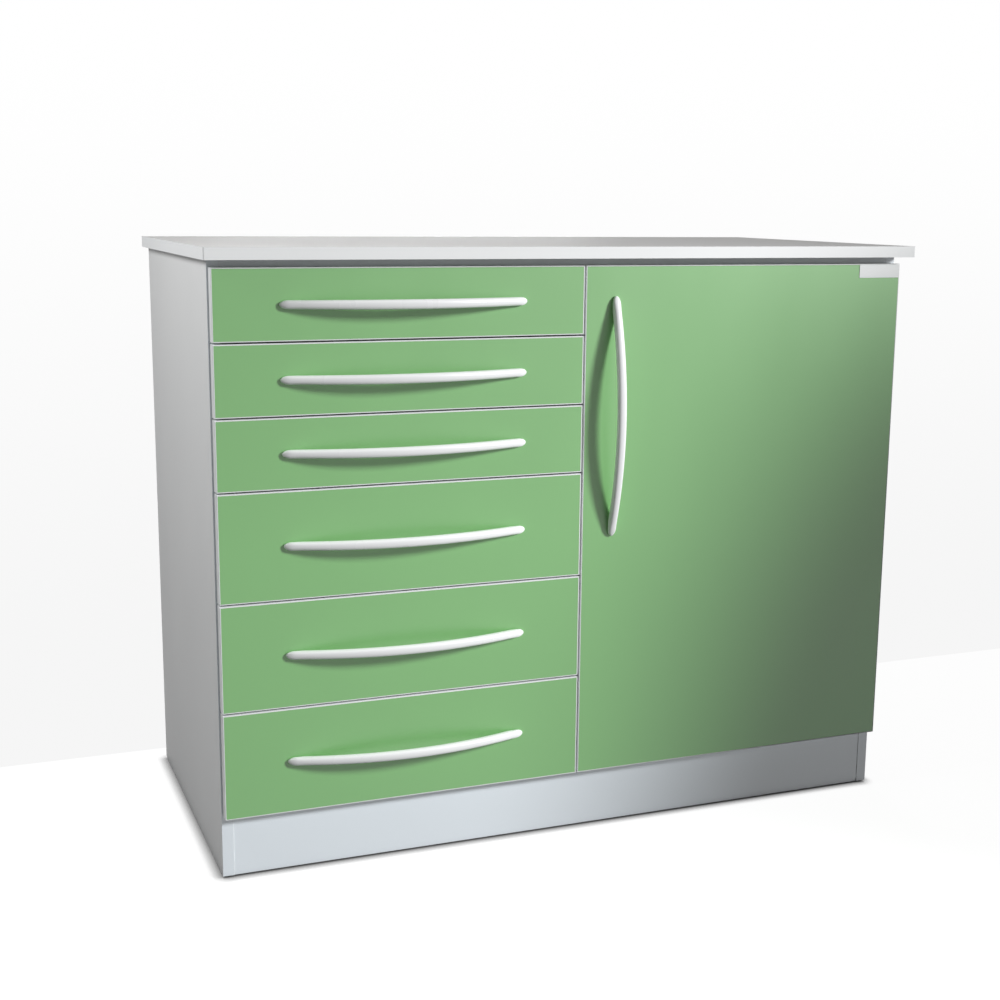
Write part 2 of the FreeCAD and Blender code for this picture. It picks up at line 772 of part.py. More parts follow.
def make_hinge_cups():
    """Cup, flange and the knuckle that the links reach."""
    body = new_body("hinge_cups", x=door_right - s.cup_edge_distance, y=fronts_back,
                    z=fronts_bottom + s.hinge_inset)
    outer = s.cup_bore_diameter - 2 * s.cup_clearance
    inner = outer - 2 * s.cup_wall
    shell = new_sketch(body, "XZ_Plane")
    draw_circle(shell, 0, 0, outer)
    draw_circle(shell, 0, 0, inner)
    floor = new_sketch(body, "XZ_Plane", s.cup_depth)
    draw_circle(floor, 0, 0, outer)
    flange = new_sketch(body, "XZ_Plane")
    draw_circle(flange, 0, 0, s.flange_diameter)
    draw_circle(flange, 0, 0, inner)
    half_wing = s.wing_width / 2
    tip_centre = s.wing_length / 2 - half_wing
    ears = []
    for side in (1, -1):
        ear = new_sketch(body, "XZ_Plane")
        draw(ear,
             ((-half_wing, side * outer / 2), (half_wing, side * outer / 2),
              (half_wing, side * tip_centre), (-half_wing, side * tip_centre)),
             {2: (side * tip_centre, side)})
        ears.append(ear)
    knuckle = new_sketch(body, "XY_Plane")
    knuckle_x = s.cup_edge_distance - s.knuckle_edge
    radius = s.knuckle_diameter / 2
    wall = inner / 2
    draw(knuckle,
         ((knuckle_x, -s.knuckle_depth - radius), (wall, -s.knuckle_depth - radius),
          (wall, -s.knuckle_depth + radius), (knuckle_x, -s.knuckle_depth + radius)),
         {3: (knuckle_x, 1)})
    parts = [pad(body, shell, s.cup_depth),
             pad(body, floor, s.cup_wall, reverse=True),
             pad(body, flange, s.cup_wall, reverse=True)]
    parts += [pad(body, ear, s.cup_wall, reverse=True) for ear in ears]
    parts.append(pad(body, knuckle, s.knuckle_width, both_ways=True))
    pattern(body, parts, "Z_Axis", hinge_spacing(), HINGE_COUNT)
    return body


def link_pivot():
    """The bore in the arm's nose, in plan."""
    return door_right - s.link_pivot_edge, fronts_back - s.link_pivot_depth


def make_hinge_arms():
    """Arms with a bored nose, saddled on plates on the right side panel."""
    pivot_x, pivot_y = link_pivot()
    body = new_body("hinge_arms", z=fronts_bottom + s.hinge_inset)
    nose_left = pivot_x - s.nose_diameter / 2
    nose_right = pivot_x + s.nose_diameter / 2
    nose_back = carcass_front + s.nose_back
    nose = new_sketch(body, "XY_Plane")
    draw(nose,
         ((nose_left, nose_back), (nose_left, pivot_y),
          (nose_right, pivot_y), (nose_right, nose_back)),
         {1: (pivot_y, 1)})
    draw_circle(nose, pivot_x, pivot_y, s.pivot_pin_diameter + 2 * s.link_play)
    bed = inner_right - s.arm_rise
    outer_face = bed - s.arm_thickness
    bend_start = carcass_front + s.bend_start
    bend_end = carcass_front + s.bend_end
    tail = carcass_front + s.arm_length
    arm = new_sketch(body, "XY_Plane")
    draw(arm,
         ((nose_left, bend_start), (nose_right, bend_start), (bed, bend_end),
          (bed, tail), (outer_face, tail), (outer_face, bend_end)))
    plate_face = inner_right - s.plate_thickness
    saddle = new_sketch(body, "XY_Plane")
    draw_rectangle(saddle, bed, plate_face, bend_end, tail - s.arm_tail)
    plate = new_sketch(body, "XY_Plane")
    draw_rectangle(plate, plate_face, inner_right, tail - s.plate_length, tail)
    parts = [pad(body, nose, s.knuckle_width, both_ways=True),
             pad(body, arm, s.arm_width, both_ways=True),
             pad(body, saddle, s.saddle_width, both_ways=True),
             pad(body, plate, s.plate_width, both_ways=True)]
    pattern(body, parts, "Z_Axis", hinge_spacing(), HINGE_COUNT)
    return body


def make_hinge_links():
    """For each hinge two strips, joined by the pin in the arm's nose, that reach the knuckle."""
    pivot_x, pivot_y = link_pivot()
    body = new_body("hinge_links", z=fronts_bottom + s.hinge_inset)
    half_height = s.link_height / 2
    run = s.link_pivot_edge - s.knuckle_edge
    slope_x = run / s.link_length
    slope_y = s.link_tilt / s.link_length
    reach = s.link_length - half_height
    far_x = pivot_x + slope_x * reach
    far_y = pivot_y + slope_y * reach
    side_x = -slope_y * half_height
    side_y = slope_x * half_height
    inner_face = s.knuckle_width / 2 + s.link_play
    pin = new_sketch(body, "XY_Plane")
    draw_circle(pin, pivot_x, pivot_y, s.pivot_pin_diameter)
    parts = []
    for low in (inner_face, -inner_face - s.link_thickness):
        eye = new_sketch(body, "XY_Plane", low)
        draw_circle(eye, pivot_x, pivot_y, s.link_eye_diameter)
        strip = new_sketch(body, "XY_Plane", low)
        draw(strip,
             ((pivot_x - side_x, pivot_y - side_y), (far_x - side_x, far_y - side_y),
              (far_x + side_x, far_y + side_y), (pivot_x + side_x, pivot_y + side_y)))
        parts.append(pad(body, eye, s.link_thickness))
        parts.append(pad(body, strip, s.link_thickness))
    parts.append(pad(body, pin, 2 * inner_face, both_ways=True))
    pattern(body, parts, "Z_Axis", hinge_spacing(), HINGE_COUNT)
    return body


def make_all():
    nodes.append(make_worktop())
    nodes.append(make_side_panel("left_side_panel", outer_left, inner_left, False))
    nodes.append(make_side_panel("right_side_panel", outer_right, inner_right, True))
    nodes.append(make_partition())
    nodes.extend(make_plain_boards())
    nodes.append(make_shelf_pins())
    nodes.append(make_floor_glides())
    nodes.extend(make_door())
    handle_pattern = make_handle_pattern()
    handle_top = fronts_bottom + front_column_height - s.door_handle_drop
    nodes.append(make_handle("door_handle", handle_pattern, door_left + s.door_handle_inset,
                             handle_top - s.handle_length / 2, upright=True))
    nodes.append(make_hinge_cups())
    nodes.append(make_hinge_arms())
    nodes.append(make_hinge_links())
    fixed_members = []
    for number in range(1, DRAWER_COUNT + 1):
        height = front_height(number)
        bottom = front_bottom(number)
        underside = bottom + s.box_lift
        box_height = height - s.box_lift - s.box_drop
        name = "drawer_%d" % number
        nodes.extend(make_front(name + "_front", drawer_front_left, drawer_front_right,
                                height, bottom))
        nodes.append(make_handle(name + "_handle", handle_pattern,
                                 (drawer_front_left + drawer_front_right) / 2, bottom + height / 2))
        nodes.extend(make_drawer_box(number, box_height, underside))
        fixed, middle, moving = make_runners(number, underside)
        fixed_members.append(fixed)
        nodes.append(middle)
        nodes.append(moving)
    nodes.append(group("cabinet_runners", fixed_members))


def check_document():
    """Stop if any feature failed or any piece has no sound shape."""
    for feature in doc.Objects:
        if "Invalid" in feature.State or "Error" in feature.State:
            raise RuntimeError("%s failed: %s" % (feature.Label, feature.State))
    for node in nodes:
        if node.Shape.isNull() or not node.Shape.isValid() or not node.Shape.Solids:
            raise RuntimeError("%s has no sound solid" % node.Label)


make_all()
doc.recompute()
check_document()
os.makedirs("parts", exist_ok=True)
for node in nodes:
    node.Shape.exportStep("parts/%s.step" % node.Label)
print("%d nodes" % len(nodes))
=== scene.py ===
import json
import math

import bmesh
import bpy
from bpy.props import FloatProperty, FloatVectorProperty, PointerProperty
from mathutils import Matrix, Vector

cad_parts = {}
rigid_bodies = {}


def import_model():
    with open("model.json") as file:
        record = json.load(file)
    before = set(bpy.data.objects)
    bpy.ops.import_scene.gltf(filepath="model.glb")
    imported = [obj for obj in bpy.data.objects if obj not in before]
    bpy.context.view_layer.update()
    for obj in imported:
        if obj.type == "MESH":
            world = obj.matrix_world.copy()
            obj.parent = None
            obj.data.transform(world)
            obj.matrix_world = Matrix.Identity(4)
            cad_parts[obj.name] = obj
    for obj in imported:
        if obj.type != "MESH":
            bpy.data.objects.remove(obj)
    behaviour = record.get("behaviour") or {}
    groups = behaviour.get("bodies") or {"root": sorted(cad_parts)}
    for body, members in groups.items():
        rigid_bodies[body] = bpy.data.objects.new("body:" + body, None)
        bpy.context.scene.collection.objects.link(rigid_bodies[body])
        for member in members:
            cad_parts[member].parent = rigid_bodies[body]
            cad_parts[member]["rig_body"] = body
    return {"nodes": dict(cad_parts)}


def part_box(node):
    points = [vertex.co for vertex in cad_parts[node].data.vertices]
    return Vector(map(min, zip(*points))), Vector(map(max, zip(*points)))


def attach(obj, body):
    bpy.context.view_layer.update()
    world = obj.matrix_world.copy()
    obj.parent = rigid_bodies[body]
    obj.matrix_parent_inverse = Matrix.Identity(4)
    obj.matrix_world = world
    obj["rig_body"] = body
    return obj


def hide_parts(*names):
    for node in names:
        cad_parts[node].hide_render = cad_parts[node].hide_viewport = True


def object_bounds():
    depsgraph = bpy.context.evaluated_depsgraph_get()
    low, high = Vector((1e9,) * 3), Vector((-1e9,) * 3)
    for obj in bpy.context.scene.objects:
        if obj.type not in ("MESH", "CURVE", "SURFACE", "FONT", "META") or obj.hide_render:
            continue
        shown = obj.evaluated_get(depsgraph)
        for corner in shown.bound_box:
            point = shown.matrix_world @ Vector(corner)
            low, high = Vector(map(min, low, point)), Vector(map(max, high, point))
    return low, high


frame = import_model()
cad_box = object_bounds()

# Looks of a clinic base cabinet with six drawers and one hinged door. Metres, +Z up, and the
# front faces -Y. Every piece starts from the box or the mesh of the solid that it stands for.

bl_info = {
    "name": "Clinic Drawer Cabinet",
    "version": (1, 0, 0),
    "blender": (4, 5, 0),
    "location": "3D View > Sidebar > Cabinet",
    "description": "Finishes a clinic cabinet of six drawers and a door, part by part",
    "category": "Object",
}

DRAWERS = range(1, 7)
MM = 0.001
RIGHT_ANGLE = math.pi / 2
# Ends the materials' names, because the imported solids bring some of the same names
FINISH = "_finish"

# How a copy of a solid is merged, and which of its edges and faces count
MERGE_DISTANCE = MM / 100
FLAT_ANGLE = math.radians(0.5)
SHARP_ANGLE = math.radians(60)
SHORTEST_SOFT_EDGE = 5 * MM
SQUARE_TO_AXIS = 0.95
NEAR_BOX = MM
TOUCHING_BOX = MM / 10

# Edges of boards that carry no band, as (axis, sign)
REAR_EDGE = ((1, 1),)
ALL_BUT_FRONT_EDGE = ((1, 1), (2, -1), (2, 1))

# Radius of the blank plate's corners
PLATE_CORNER = 1 * MM

# Shares of a screw head's diameter
HEAD_HEIGHT = 0.24
HEAD_RECESS = 0.14
HEAD_CROWN = 0.62

# Screws: how far in from the ends or out from the middles of what they hold, the thickness
# of the plate under the hinges' screws, and how many are in a row across the back
BOX_SCREW_INSET = 12 * MM
BOX_SCREW_FROM_MIDDLE = 160 * MM
HANDLE_SCREW_INSET = 8 * MM
CUP_CENTRE_INSET = 31 * MM
CUP_SCREW_FROM_CENTRE = 24 * MM
ARM_CENTRE_INSET = 16 * MM
HINGE_PLATE_THICKNESS = 2.5 * MM
HINGE_SCREW_FROM_REAR = 14 * MM
HINGE_SCREW_FROM_CENTRE = 11 * MM
BACK_SCREWS_IN_ROW = 8
BACK_SCREW_INSET = 60 * MM

# Stage: places, sizes and heights in metres, and brightness, gloss and blend as shares
BACKDROP_SIZE = 14.0
FLOOR_PAINT = 0.14
FLOOR_GLOW = 0.96
PAINTED_CONTACT_SHADE_REACH = 0.017
WALL_FADE_FOOT, WALL_FADE_TOP = 0.1, 1.2
WALL_FOOT_GLOW = 0.92
MAIN_LAMP_PLACE = (3.63, -3.52, 2.46)
MAIN_LAMP_AIM = (-0.20, -0.24, 0.60)
MAIN_LAMP_RADIUS = 0.5
MAIN_LAMP_GLOSS = 0.3
BEAM_ANGLE = math.radians(70)
BEAM_BLEND = 0.3
BARN_DOOR_SHIFT = 0.0747
SCRIM_FOOT, SCRIM_TOP = 0.45, 0.83
SIDE_LAMP_PLACE, SIDE_LAMP_AIM = (-1.35, -0.20, 1.42), (-0.50, -0.05, 0.75)
SIDE_LAMP_SIZE = 0.45
REAR_LAMP_PLACE, REAR_LAMP_AIM = (0.60, 2.60, 0.80), (0.00, 0.25, 0.45)
REAR_LAMP_SIZE = 1.2
SOFT_BOX_GLOSS = 0.2

# Camera: its place in metres, its two directions, its shift as a share of the picture's
# width, and its sensor in millimetres
CAMERA_PLACE = (-0.86196, -2.16134, 0.91010)
CAMERA_RIGHT = (0.929382, -0.368964, 0.010699)
CAMERA_UP = (0.060763, 0.181516, 0.981509)
CAMERA_SHIFT = (-0.0202, -0.0029)
SENSOR_WIDTH = 36.0


# Values that the sidebar shows

def colour(label, description, default):
    """A colour that the sidebar shows, in linear light."""
    return FloatVectorProperty(name=label, description=description, default=default,
                               size=3, min=0, max=1, subtype="COLOR")


def length(label, description, default):
    """A length in metres that the sidebar shows."""
    return FloatProperty(name=label, description=description, default=default,
                         min=0, unit="LENGTH", precision=5)


class CabinetColours(bpy.types.PropertyGroup):
    """Colours of the cabinet's finishes."""

    front: colour("Front laminate", "Green laminate of the drawer fronts and the door",
                  (0.163, 0.398, 0.132))
    carcass: colour("Carcass laminate", "Pale laminate of the carcass boards",
                    (0.79, 0.80, 0.80))
    plinth: colour("Plinth laminate", "Cool white laminate of the plinth board",
                   (0.66, 0.72, 0.77))
    worktop: colour("Worktop laminate", "Laminate on top of the worktop", (0.61, 0.605, 0.60))
    edging: colour("Edge band", "Plastic band round the boards", (0.80, 0.82, 0.83))
    handle: colour("Handles", "Coating of the bow handles", (0.86, 0.87, 0.88))
    steel: colour("Steel", "Zinc-plated steel of runners and screws", (0.60, 0.61, 0.63))
    nickel: colour("Hinges", "Nickel-plated steel of the hinges", (0.66, 0.65, 0.62))
    hardboard: colour("Hardboard", "Bare rear side of the hardboard sheets", (0.29, 0.17, 0.09))
    chipboard: colour("Chipboard", "Bare edges of the boards", (0.52, 0.39, 0.25))
    plastic: colour("Plastic", "Glides, plate and other white mouldings", (0.90, 0.915, 0.92))


class CabinetSizes(bpy.types.PropertyGroup):
    """Sizes of what the solids leave plain."""

    board_softness: length("Board softness", "Width of the softened edges of a board", 0.0004)
    band_softness: length("Band softness", "Width of the softened edges of a front", 0.0007)
    top_softness: length("Worktop softness", "Width of the worktop's softened edges", 0.0012)
    bow_thickness: length("Bow thickness", "Handle at its middle, square to the front", 0.011)
    tip_width: length("Tip width", "Handle before its rounded ends, across", 0.0115)
    tip_height: length("Tip height", "Handle's outer side above the front, at its ends", 0.0055)
    tip_rounding: length("Tip rounding", "Length of each rounded end", 0.011)
    foot: length("Foot", "Length of each end that lies on the front", 0.022)
    squareness: FloatProperty(name="Squareness", min=2, max=8, default=2.4,
                              description="2 makes the handle's section an ellipse")
    screw_head: length("Screw head", "Diameter of the pan heads", 0.0076)
    plate_width: length("Plate width", "Blank plate at the top of the door", 0.069)
    plate_height: length("Plate height", "Blank plate at the top of the door", 0.019)
    plate_thickness: length("Plate thickness", "Blank plate at the top of the door", 0.0006)


class CabinetStage(bpy.types.PropertyGroup):
    """Light, floor and camera."""

    lamp_power: FloatProperty(name="Main lamp", description="Soft lamp at the front right",
                              default=1580.0, min=0, unit="POWER")
    side_power: FloatProperty(name="Side lamp", description="Soft box above the left side",
                              default=8.6, min=0, unit="POWER")
    rear_power: FloatProperty(name="Rear lamp", description="Soft box behind the cabinet",
                              default=30.0, min=0, unit="POWER")
    daylight: FloatProperty(name="Daylight", description="Light from all round", default=0.028,
                            min=0)
    door_angle: FloatProperty(name="Barn door", description="Turn of the main lamp's barn door",
                              default=math.radians(122.1), unit="ROTATION")
    door_edge: FloatProperty(name="Barn door's edge", default=-0.1102,
                             description="Slope of the beam at which the door shuts it out")
    door_blur: FloatProperty(name="Barn door's blur", default=0.1108, min=0.001,
                             description="Spread of slopes over which the beam fades")
    door_bow: FloatProperty(name="Barn door's bow", default=5.775,
                            description="How strongly the barn door's edge bends")
    scrim: FloatProperty(name="Scrim", default=0.84, min=0, max=1,
                         description="Share of the beam that its scrim passes at the top")
    wall_gap: length("Wall", "Wall behind the cabinet", 0.0465)
    focal_length: FloatProperty(name="Focal length", description="Camera lens in millimetres",
                                default=54.80, min=1)


# Node helpers

def feed(tree, value, socket):
    """Give a socket a link or a plain value."""
    if isinstance(value, Wire):
        tree.links.new(value.socket, socket)
    elif isinstance(value, bpy.types.NodeSocket):
        tree.links.new(value, socket)
    else:
        socket.default_value = value


def add_node(tree, kind, inputs=None, **settings):
    """A new node with its settings and with what feeds its inputs."""
    node = tree.nodes.new(kind)
    for name, value in settings.items():
        setattr(node, name, value)
    for key, value in (inputs or {}).items():
        feed(tree, value, node.inputs[key])
    return node


class Wire:
    """A number in a node tree. Arithmetic on it adds Math nodes."""

    def __init__(self, tree, socket):
        self.tree = tree
        self.socket = socket

    def math(self, operation, *others):
        node = add_node(self.tree, "ShaderNodeMath",
                        dict(enumerate((self, *others))), operation=operation)
        return Wire(self.tree, node.outputs[0])

    def __add__(self, other):
        return self.math("ADD", other)

    def __sub__(self, other):
        return self.math("SUBTRACT", other)

    def __mul__(self, other):
        return self.math("MULTIPLY", other)

    def __truediv__(self, other):
        return self.math("DIVIDE", other)

    def __neg__(self):
        return self * -1.0

    def signed_power(self, exponent):
        """The power of the size, with the sign kept."""
        return self.math("ABSOLUTE").math("POWER", exponent) * self.math("SIGN")


SOCKET_KINDS = {float: "NodeSocketFloat", int: "NodeSocketInt", tuple: "NodeSocketColor"}
GEOMETRY = {"Geometry": "NodeSocketGeometry"}
SURFACE = {"Colour": "NodeSocketColor", "Roughness": "NodeSocketFloat",
           "Height": "NodeSocketFloat"}


def new_group(name, kind, inputs, outputs):
    """An empty node group with its sockets, and the nodes that stand for them inside."""
    tree = bpy.data.node_groups.new(name, kind)
    for label, default in inputs.items():
        if isinstance(default, str):
            tree.interface.new_socket(name=label, in_out="INPUT", socket_type=default)
            continue
        socket = tree.interface.new_socket(name=label, in_out="INPUT",
                                           socket_type=SOCKET_KINDS[type(default)])
        socket.default_value = default
    for label, socket_kind in outputs.items():
        tree.interface.new_socket(name=label, in_out="OUTPUT", socket_type=socket_kind)
    return tree, tree.nodes.new("NodeGroupInput").outputs, tree.nodes.new("NodeGroupOutput").inputs


# Surface effects that several materials share

def noise(tree, vector, scale, detail):
    """Even noise from 0 to 1, with its scale in waves for each metre."""
    node = add_node(tree, "ShaderNodeTexNoise",
                    {"Vector": vector, "Scale": scale, "Detail": detail})
    return Wire(tree, node.outputs[0])


def object_place(tree, stretch=(1.0, 1.0, 1.0)):
    """The point on the piece, in metres, stretched along its axes."""
    place = add_node(tree, "ShaderNodeTexCoord")
    mapping = add_node(tree, "ShaderNodeMapping",
                       {"Vector": place.outputs["Object"], "Scale": stretch})
    return mapping.outputs[0]


def tinted(tree, tone, tint):
    """A colour made lighter or darker by a tone near 1."""
    node = add_node(tree, "ShaderNodeVectorMath", {0: tint}, operation="SCALE")
    feed(tree, tone, node.inputs["Scale"])
    return node.outputs[0]


def make_pearl_surface():
    """Pressed laminate, plastic and paint: a fine pearl, and tone and gloss that drift."""
    tree, given, result = new_group(
        "pearl_surface", "ShaderNodeTree",
        {"Colour": (0.8, 0.8, 0.8, 1.0), "Tone Drift": 0.03, "Pearl Scale": 1400.0,
         "Roughness": 0.4, "Roughness Drift": 0.08}, SURFACE)
    place = object_place(tree)
    pearl = noise(tree, place, scale=given["Pearl Scale"], detail=2.0)
    cloud = noise(tree, place, scale=5.0, detail=3.0)
    wipes = noise(tree, object_place(tree, (1.0, 1.0, 0.3)), scale=14.0, detail=4.0)
    tone = (cloud - 0.5) * Wire(tree, given["Tone Drift"]) + 1.0
    tone = tone + (pearl - 0.5) * Wire(tree, given["Tone Drift"])
    feed(tree, tinted(tree, tone, given["Colour"]), result["Colour"])
    gloss = Wire(tree, given["Roughness"]) + (wipes - 0.5) * Wire(tree, given["Roughness Drift"])
    feed(tree, gloss, result["Roughness"])
    feed(tree, pearl, result["Height"])


def make_rolled_surface():
    """Plated sheet steel: drawn lines along its length over a soft spangle."""
    tree, given, result = new_group(
        "rolled_surface", "ShaderNodeTree",
        {"Colour": (0.6, 0.6, 0.6, 1.0), "Line Scale": 900.0, "Roughness": 0.3,
         "Roughness Drift": 0.15}, SURFACE)
    lines = noise(tree, object_place(tree, (1.0, 0.02, 1.0)), scale=given["Line Scale"],
                  detail=3.0)
    spangle = noise(tree, object_place(tree), scale=60.0, detail=2.0)
    line_contrast, spangle_contrast = 0.18, 0.15
    tone = (lines - 0.5) * line_contrast + (spangle - 0.5) * spangle_contrast + 1.0
    feed(tree, tinted(tree, tone, given["Colour"]), result["Colour"])
    drift = (lines - 0.5) + (spangle - 0.5)
    feed(tree, Wire(tree, given["Roughness"]) + drift * Wire(tree, given["Roughness Drift"]),
         result["Roughness"])
    feed(tree, lines, result["Height"])


def make_pressed_wood():
    """Pressed chips or fibres, bare of any coating."""
    tree, given, result = new_group(
        "pressed_wood", "ShaderNodeTree",
        {"Colour": (0.5, 0.4, 0.3, 1.0), "Chip Scale": 400.0, "Contrast": 0.6},
        {"Colour": "NodeSocketColor", "Height": "NodeSocketFloat"})
    chips = add_node(tree, "ShaderNodeTexVoronoi",
                     {"Vector": object_place(tree, (0.5, 0.5, 1.0)),
                      "Scale": given["Chip Scale"]}, feature="F1")
    shade = Wire(tree, chips.outputs["Distance"])
    fibre = noise(tree, object_place(tree, (0.2, 0.2, 1.0)), scale=1500.0, detail=4.0)
    tone = (fibre - shade) * Wire(tree, given["Contrast"]) + 1.0
    feed(tree, tinted(tree, tone, given["Colour"]), result["Colour"])
    feed(tree, fibre - shade, result["Height"])


def material_rows(colours):
    """Every finish of the cabinet, by name.

    Each has its surface effect, its colour, the effect's other inputs, the depth of its
    relief in metres, and values of the shader itself.
    """
    satin = {"Roughness": 0.42, "Roughness Drift": 0.10}
    return {
        "green_laminate": ("pearl_surface", colours.front,
                           {"Roughness": 0.36, "Roughness Drift": 0.10, "Tone Drift": 0.035},
                           0.00003, {"Specular IOR Level": 1.0, "Coat Weight": 0.6,
                                     "Coat Roughness": 0.4}),
        "white_laminate": ("pearl_surface", colours.carcass, {**satin, "Tone Drift": 0.025},
                           0.00004, {"Specular IOR Level": 0.15}),
        "plinth_laminate": ("pearl_surface", colours.plinth, {**satin, "Tone Drift": 0.025},
                            0.00004, {"Specular IOR Level": 0.9, "Coat Weight": 1.0,
                                      "Coat IOR": 2.1, "Coat Roughness": 0.35}),
        "worktop_laminate": ("pearl_surface", colours.worktop,
                             {"Roughness": 0.60, "Pearl Scale": 900.0, "Tone Drift": 0.05},
                           0.00005, {"Specular IOR Level": 0.12}),
        "edge_band": ("pearl_surface", colours.edging,
                      {"Roughness": 0.33, "Tone Drift": 0.02}, 0.00002, {}),
        "handle_coating": ("pearl_surface", colours.handle,
                           {"Roughness": 0.28, "Roughness Drift": 0.06, "Tone Drift": 0.01,
                            "Pearl Scale": 2200.0},
                           0.00001, {"Coat Weight": 0.35, "Coat Roughness": 0.12}),
        "white_plastic": ("pearl_surface", colours.plastic,
                          {"Roughness": 0.5, "Tone Drift": 0.02}, 0.00002, {}),
        "runner_steel": ("rolled_surface", colours.steel, {}, 0.00002, {"Metallic": 1.0}),
        "hinge_steel": ("rolled_surface", colours.nickel,
                        {"Roughness": 0.22, "Roughness Drift": 0.10}, 0.00001,
                        {"Metallic": 1.0}),
        "bare_hardboard": ("pressed_wood", colours.hardboard,
                           {"Chip Scale": 1800.0, "Contrast": 0.35}, 0.00005,
                           {"Roughness": 0.75}),
        "bare_chipboard": ("pressed_wood", colours.chipboard, {}, 0.0002, {"Roughness": 0.85}),
    }


def make_material(name, group_name, base, inputs, relief, shader_values):
    """A material whose colour, gloss and relief come from one surface effect."""
    material = bpy.data.materials.new(name + FINISH)
    material.use_nodes = True
    material.diffuse_color = (*base, 1.0)
    tree = material.node_tree
    shader = tree.nodes["Principled BSDF"]
    surface = add_node(tree, "ShaderNodeGroup", node_tree=bpy.data.node_groups[group_name])
    feed(tree, (*base, 1.0), surface.inputs["Colour"])
    for key, value in inputs.items():
        feed(tree, value, surface.inputs[key])
    for key, value in shader_values.items():
        feed(tree, value, shader.inputs[key])
    feed(tree, surface.outputs["Colour"], shader.inputs["Base Color"])
    if "Roughness" in surface.outputs:
        feed(tree, surface.outputs["Roughness"], shader.inputs["Roughness"])
    bump = add_node(tree, "ShaderNodeBump",
                    {"Height": surface.outputs["Height"], "Distance": relief})
    feed(tree, bump.outputs[0], shader.inputs["Normal"])
    return material


def material(name):
    """A finish that is already made."""
    return bpy.data.materials[name + FINISH]


# Piece helpers

def settle(name, mesh, body, replaced=()):
    """Turn a mesh into a finished piece that rides on its body."""
    piece = bpy.data.objects.new(name, mesh)
    bpy.context.scene.collection.objects.link(piece)
    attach(piece, body)
    if replaced:
        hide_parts(*replaced)


def body_of(node):
    """The body that a solid belongs to."""
    return frame["nodes"][node]["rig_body"]


def merged_copy(node):
    """A solid's mesh as whole faces that share their corners."""
    work = bmesh.new()
    work.from_mesh(frame["nodes"][node].data)
    bmesh.ops.remove_doubles(work, verts=work.verts, dist=MERGE_DISTANCE)
    bmesh.ops.dissolve_limit(work, angle_limit=FLAT_ANGLE, verts=work.verts,
                             edges=work.edges, delimit={"NORMAL"})
    return work


def soften(work, width, chosen, segments=2):
    """Bevel the long sharp edges that are chosen."""
    sharp = [edge for edge in work.edges
             if edge.is_manifold and edge.calc_length() > SHORTEST_SOFT_EDGE
             and edge.calc_face_angle() > SHARP_ANGLE and chosen(edge)]
    bmesh.ops.bevel(work, geom=sharp, offset=width, segments=segments, profile=0.5,
                    affect="EDGES", clamp_overlap=True)


def to_mesh(work, name, materials):
    """The finished mesh with its materials."""
    mesh = bpy.data.meshes.new(name)
    work.to_mesh(mesh)
    work.free()
    for finish in materials:
        mesh.materials.append(material(finish))
    return mesh


def thin_axis(low, high):
    """The axis along which a board is thinnest."""
    extent = high - low
    return min(range(3), key=lambda axis: extent[axis])


def on_hull(face, low, high, axis):
    """True where a face square to the axis lies on the outside of the board's box."""
    centre = face.calc_center_median()[axis]
    return min(abs(centre - low[axis]), abs(centre - high[axis])) < NEAR_BOX


def make_board(node, width, finish="white_laminate", bare=REAR_EDGE,
               nose="edge_band"):
    """A board with softened edges: laminate on its faces, band on its edges, chips inside.

    bare lists the directions of edges that carry no band, as (axis, sign), and nose is the
    finish of the front edge. The faces of grooves and holes are bare too.
    """
    on_face, on_edge, on_bare, on_nose = range(4)
    low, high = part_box(node)
    thin = thin_axis(low, high)
    work = merged_copy(node)
    soften(work, width, lambda edge: True)
    for face in work.faces:
        axis = max(range(3), key=lambda index: abs(face.normal[index]))
        square = abs(face.normal[axis]) > SQUARE_TO_AXIS
        if square and axis == thin:
            face.material_index = on_face if on_hull(face, low, high, axis) else on_bare
        elif square and not on_hull(face, low, high, axis):
            face.material_index = on_bare
        elif square and (axis, round(face.normal[axis])) in bare:
            face.material_index = on_bare
        elif axis == 1 and face.normal.y < 0:
            face.material_index = on_nose
        else:
            face.material_index = on_edge
    name = node + "_dressed"
    mesh = to_mesh(work, name, (finish, "edge_band", "bare_chipboard", nose))
    settle(name, mesh, body_of(node), (node,))


def grow(name, tree, values, carrier_mesh=None):
    """The plain mesh that a Geometry Nodes tree makes from its named inputs."""
    carrier = bpy.data.objects.new(name + "_carrier",
                                   carrier_mesh or bpy.data.meshes.new(name + "_points"))
    bpy.context.scene.collection.objects.link(carrier)
    modifier = carrier.modifiers.new(name, "NODES")
    modifier.node_group = tree
    for item in tree.interface.items_tree:
        if item.in_out == "INPUT" and item.name in values:
            modifier[item.identifier] = values[item.name]
    evaluated = carrier.evaluated_get(bpy.context.evaluated_depsgraph_get())
    mesh = bpy.data.meshes.new_from_object(evaluated)
    mesh.name = name
    carrier.modifiers.remove(modifier)
    bpy.data.objects.remove(carrier)
    if not mesh.polygons:
        raise RuntimeError("%s came out empty" % name)
    return mesh


# Bow handles

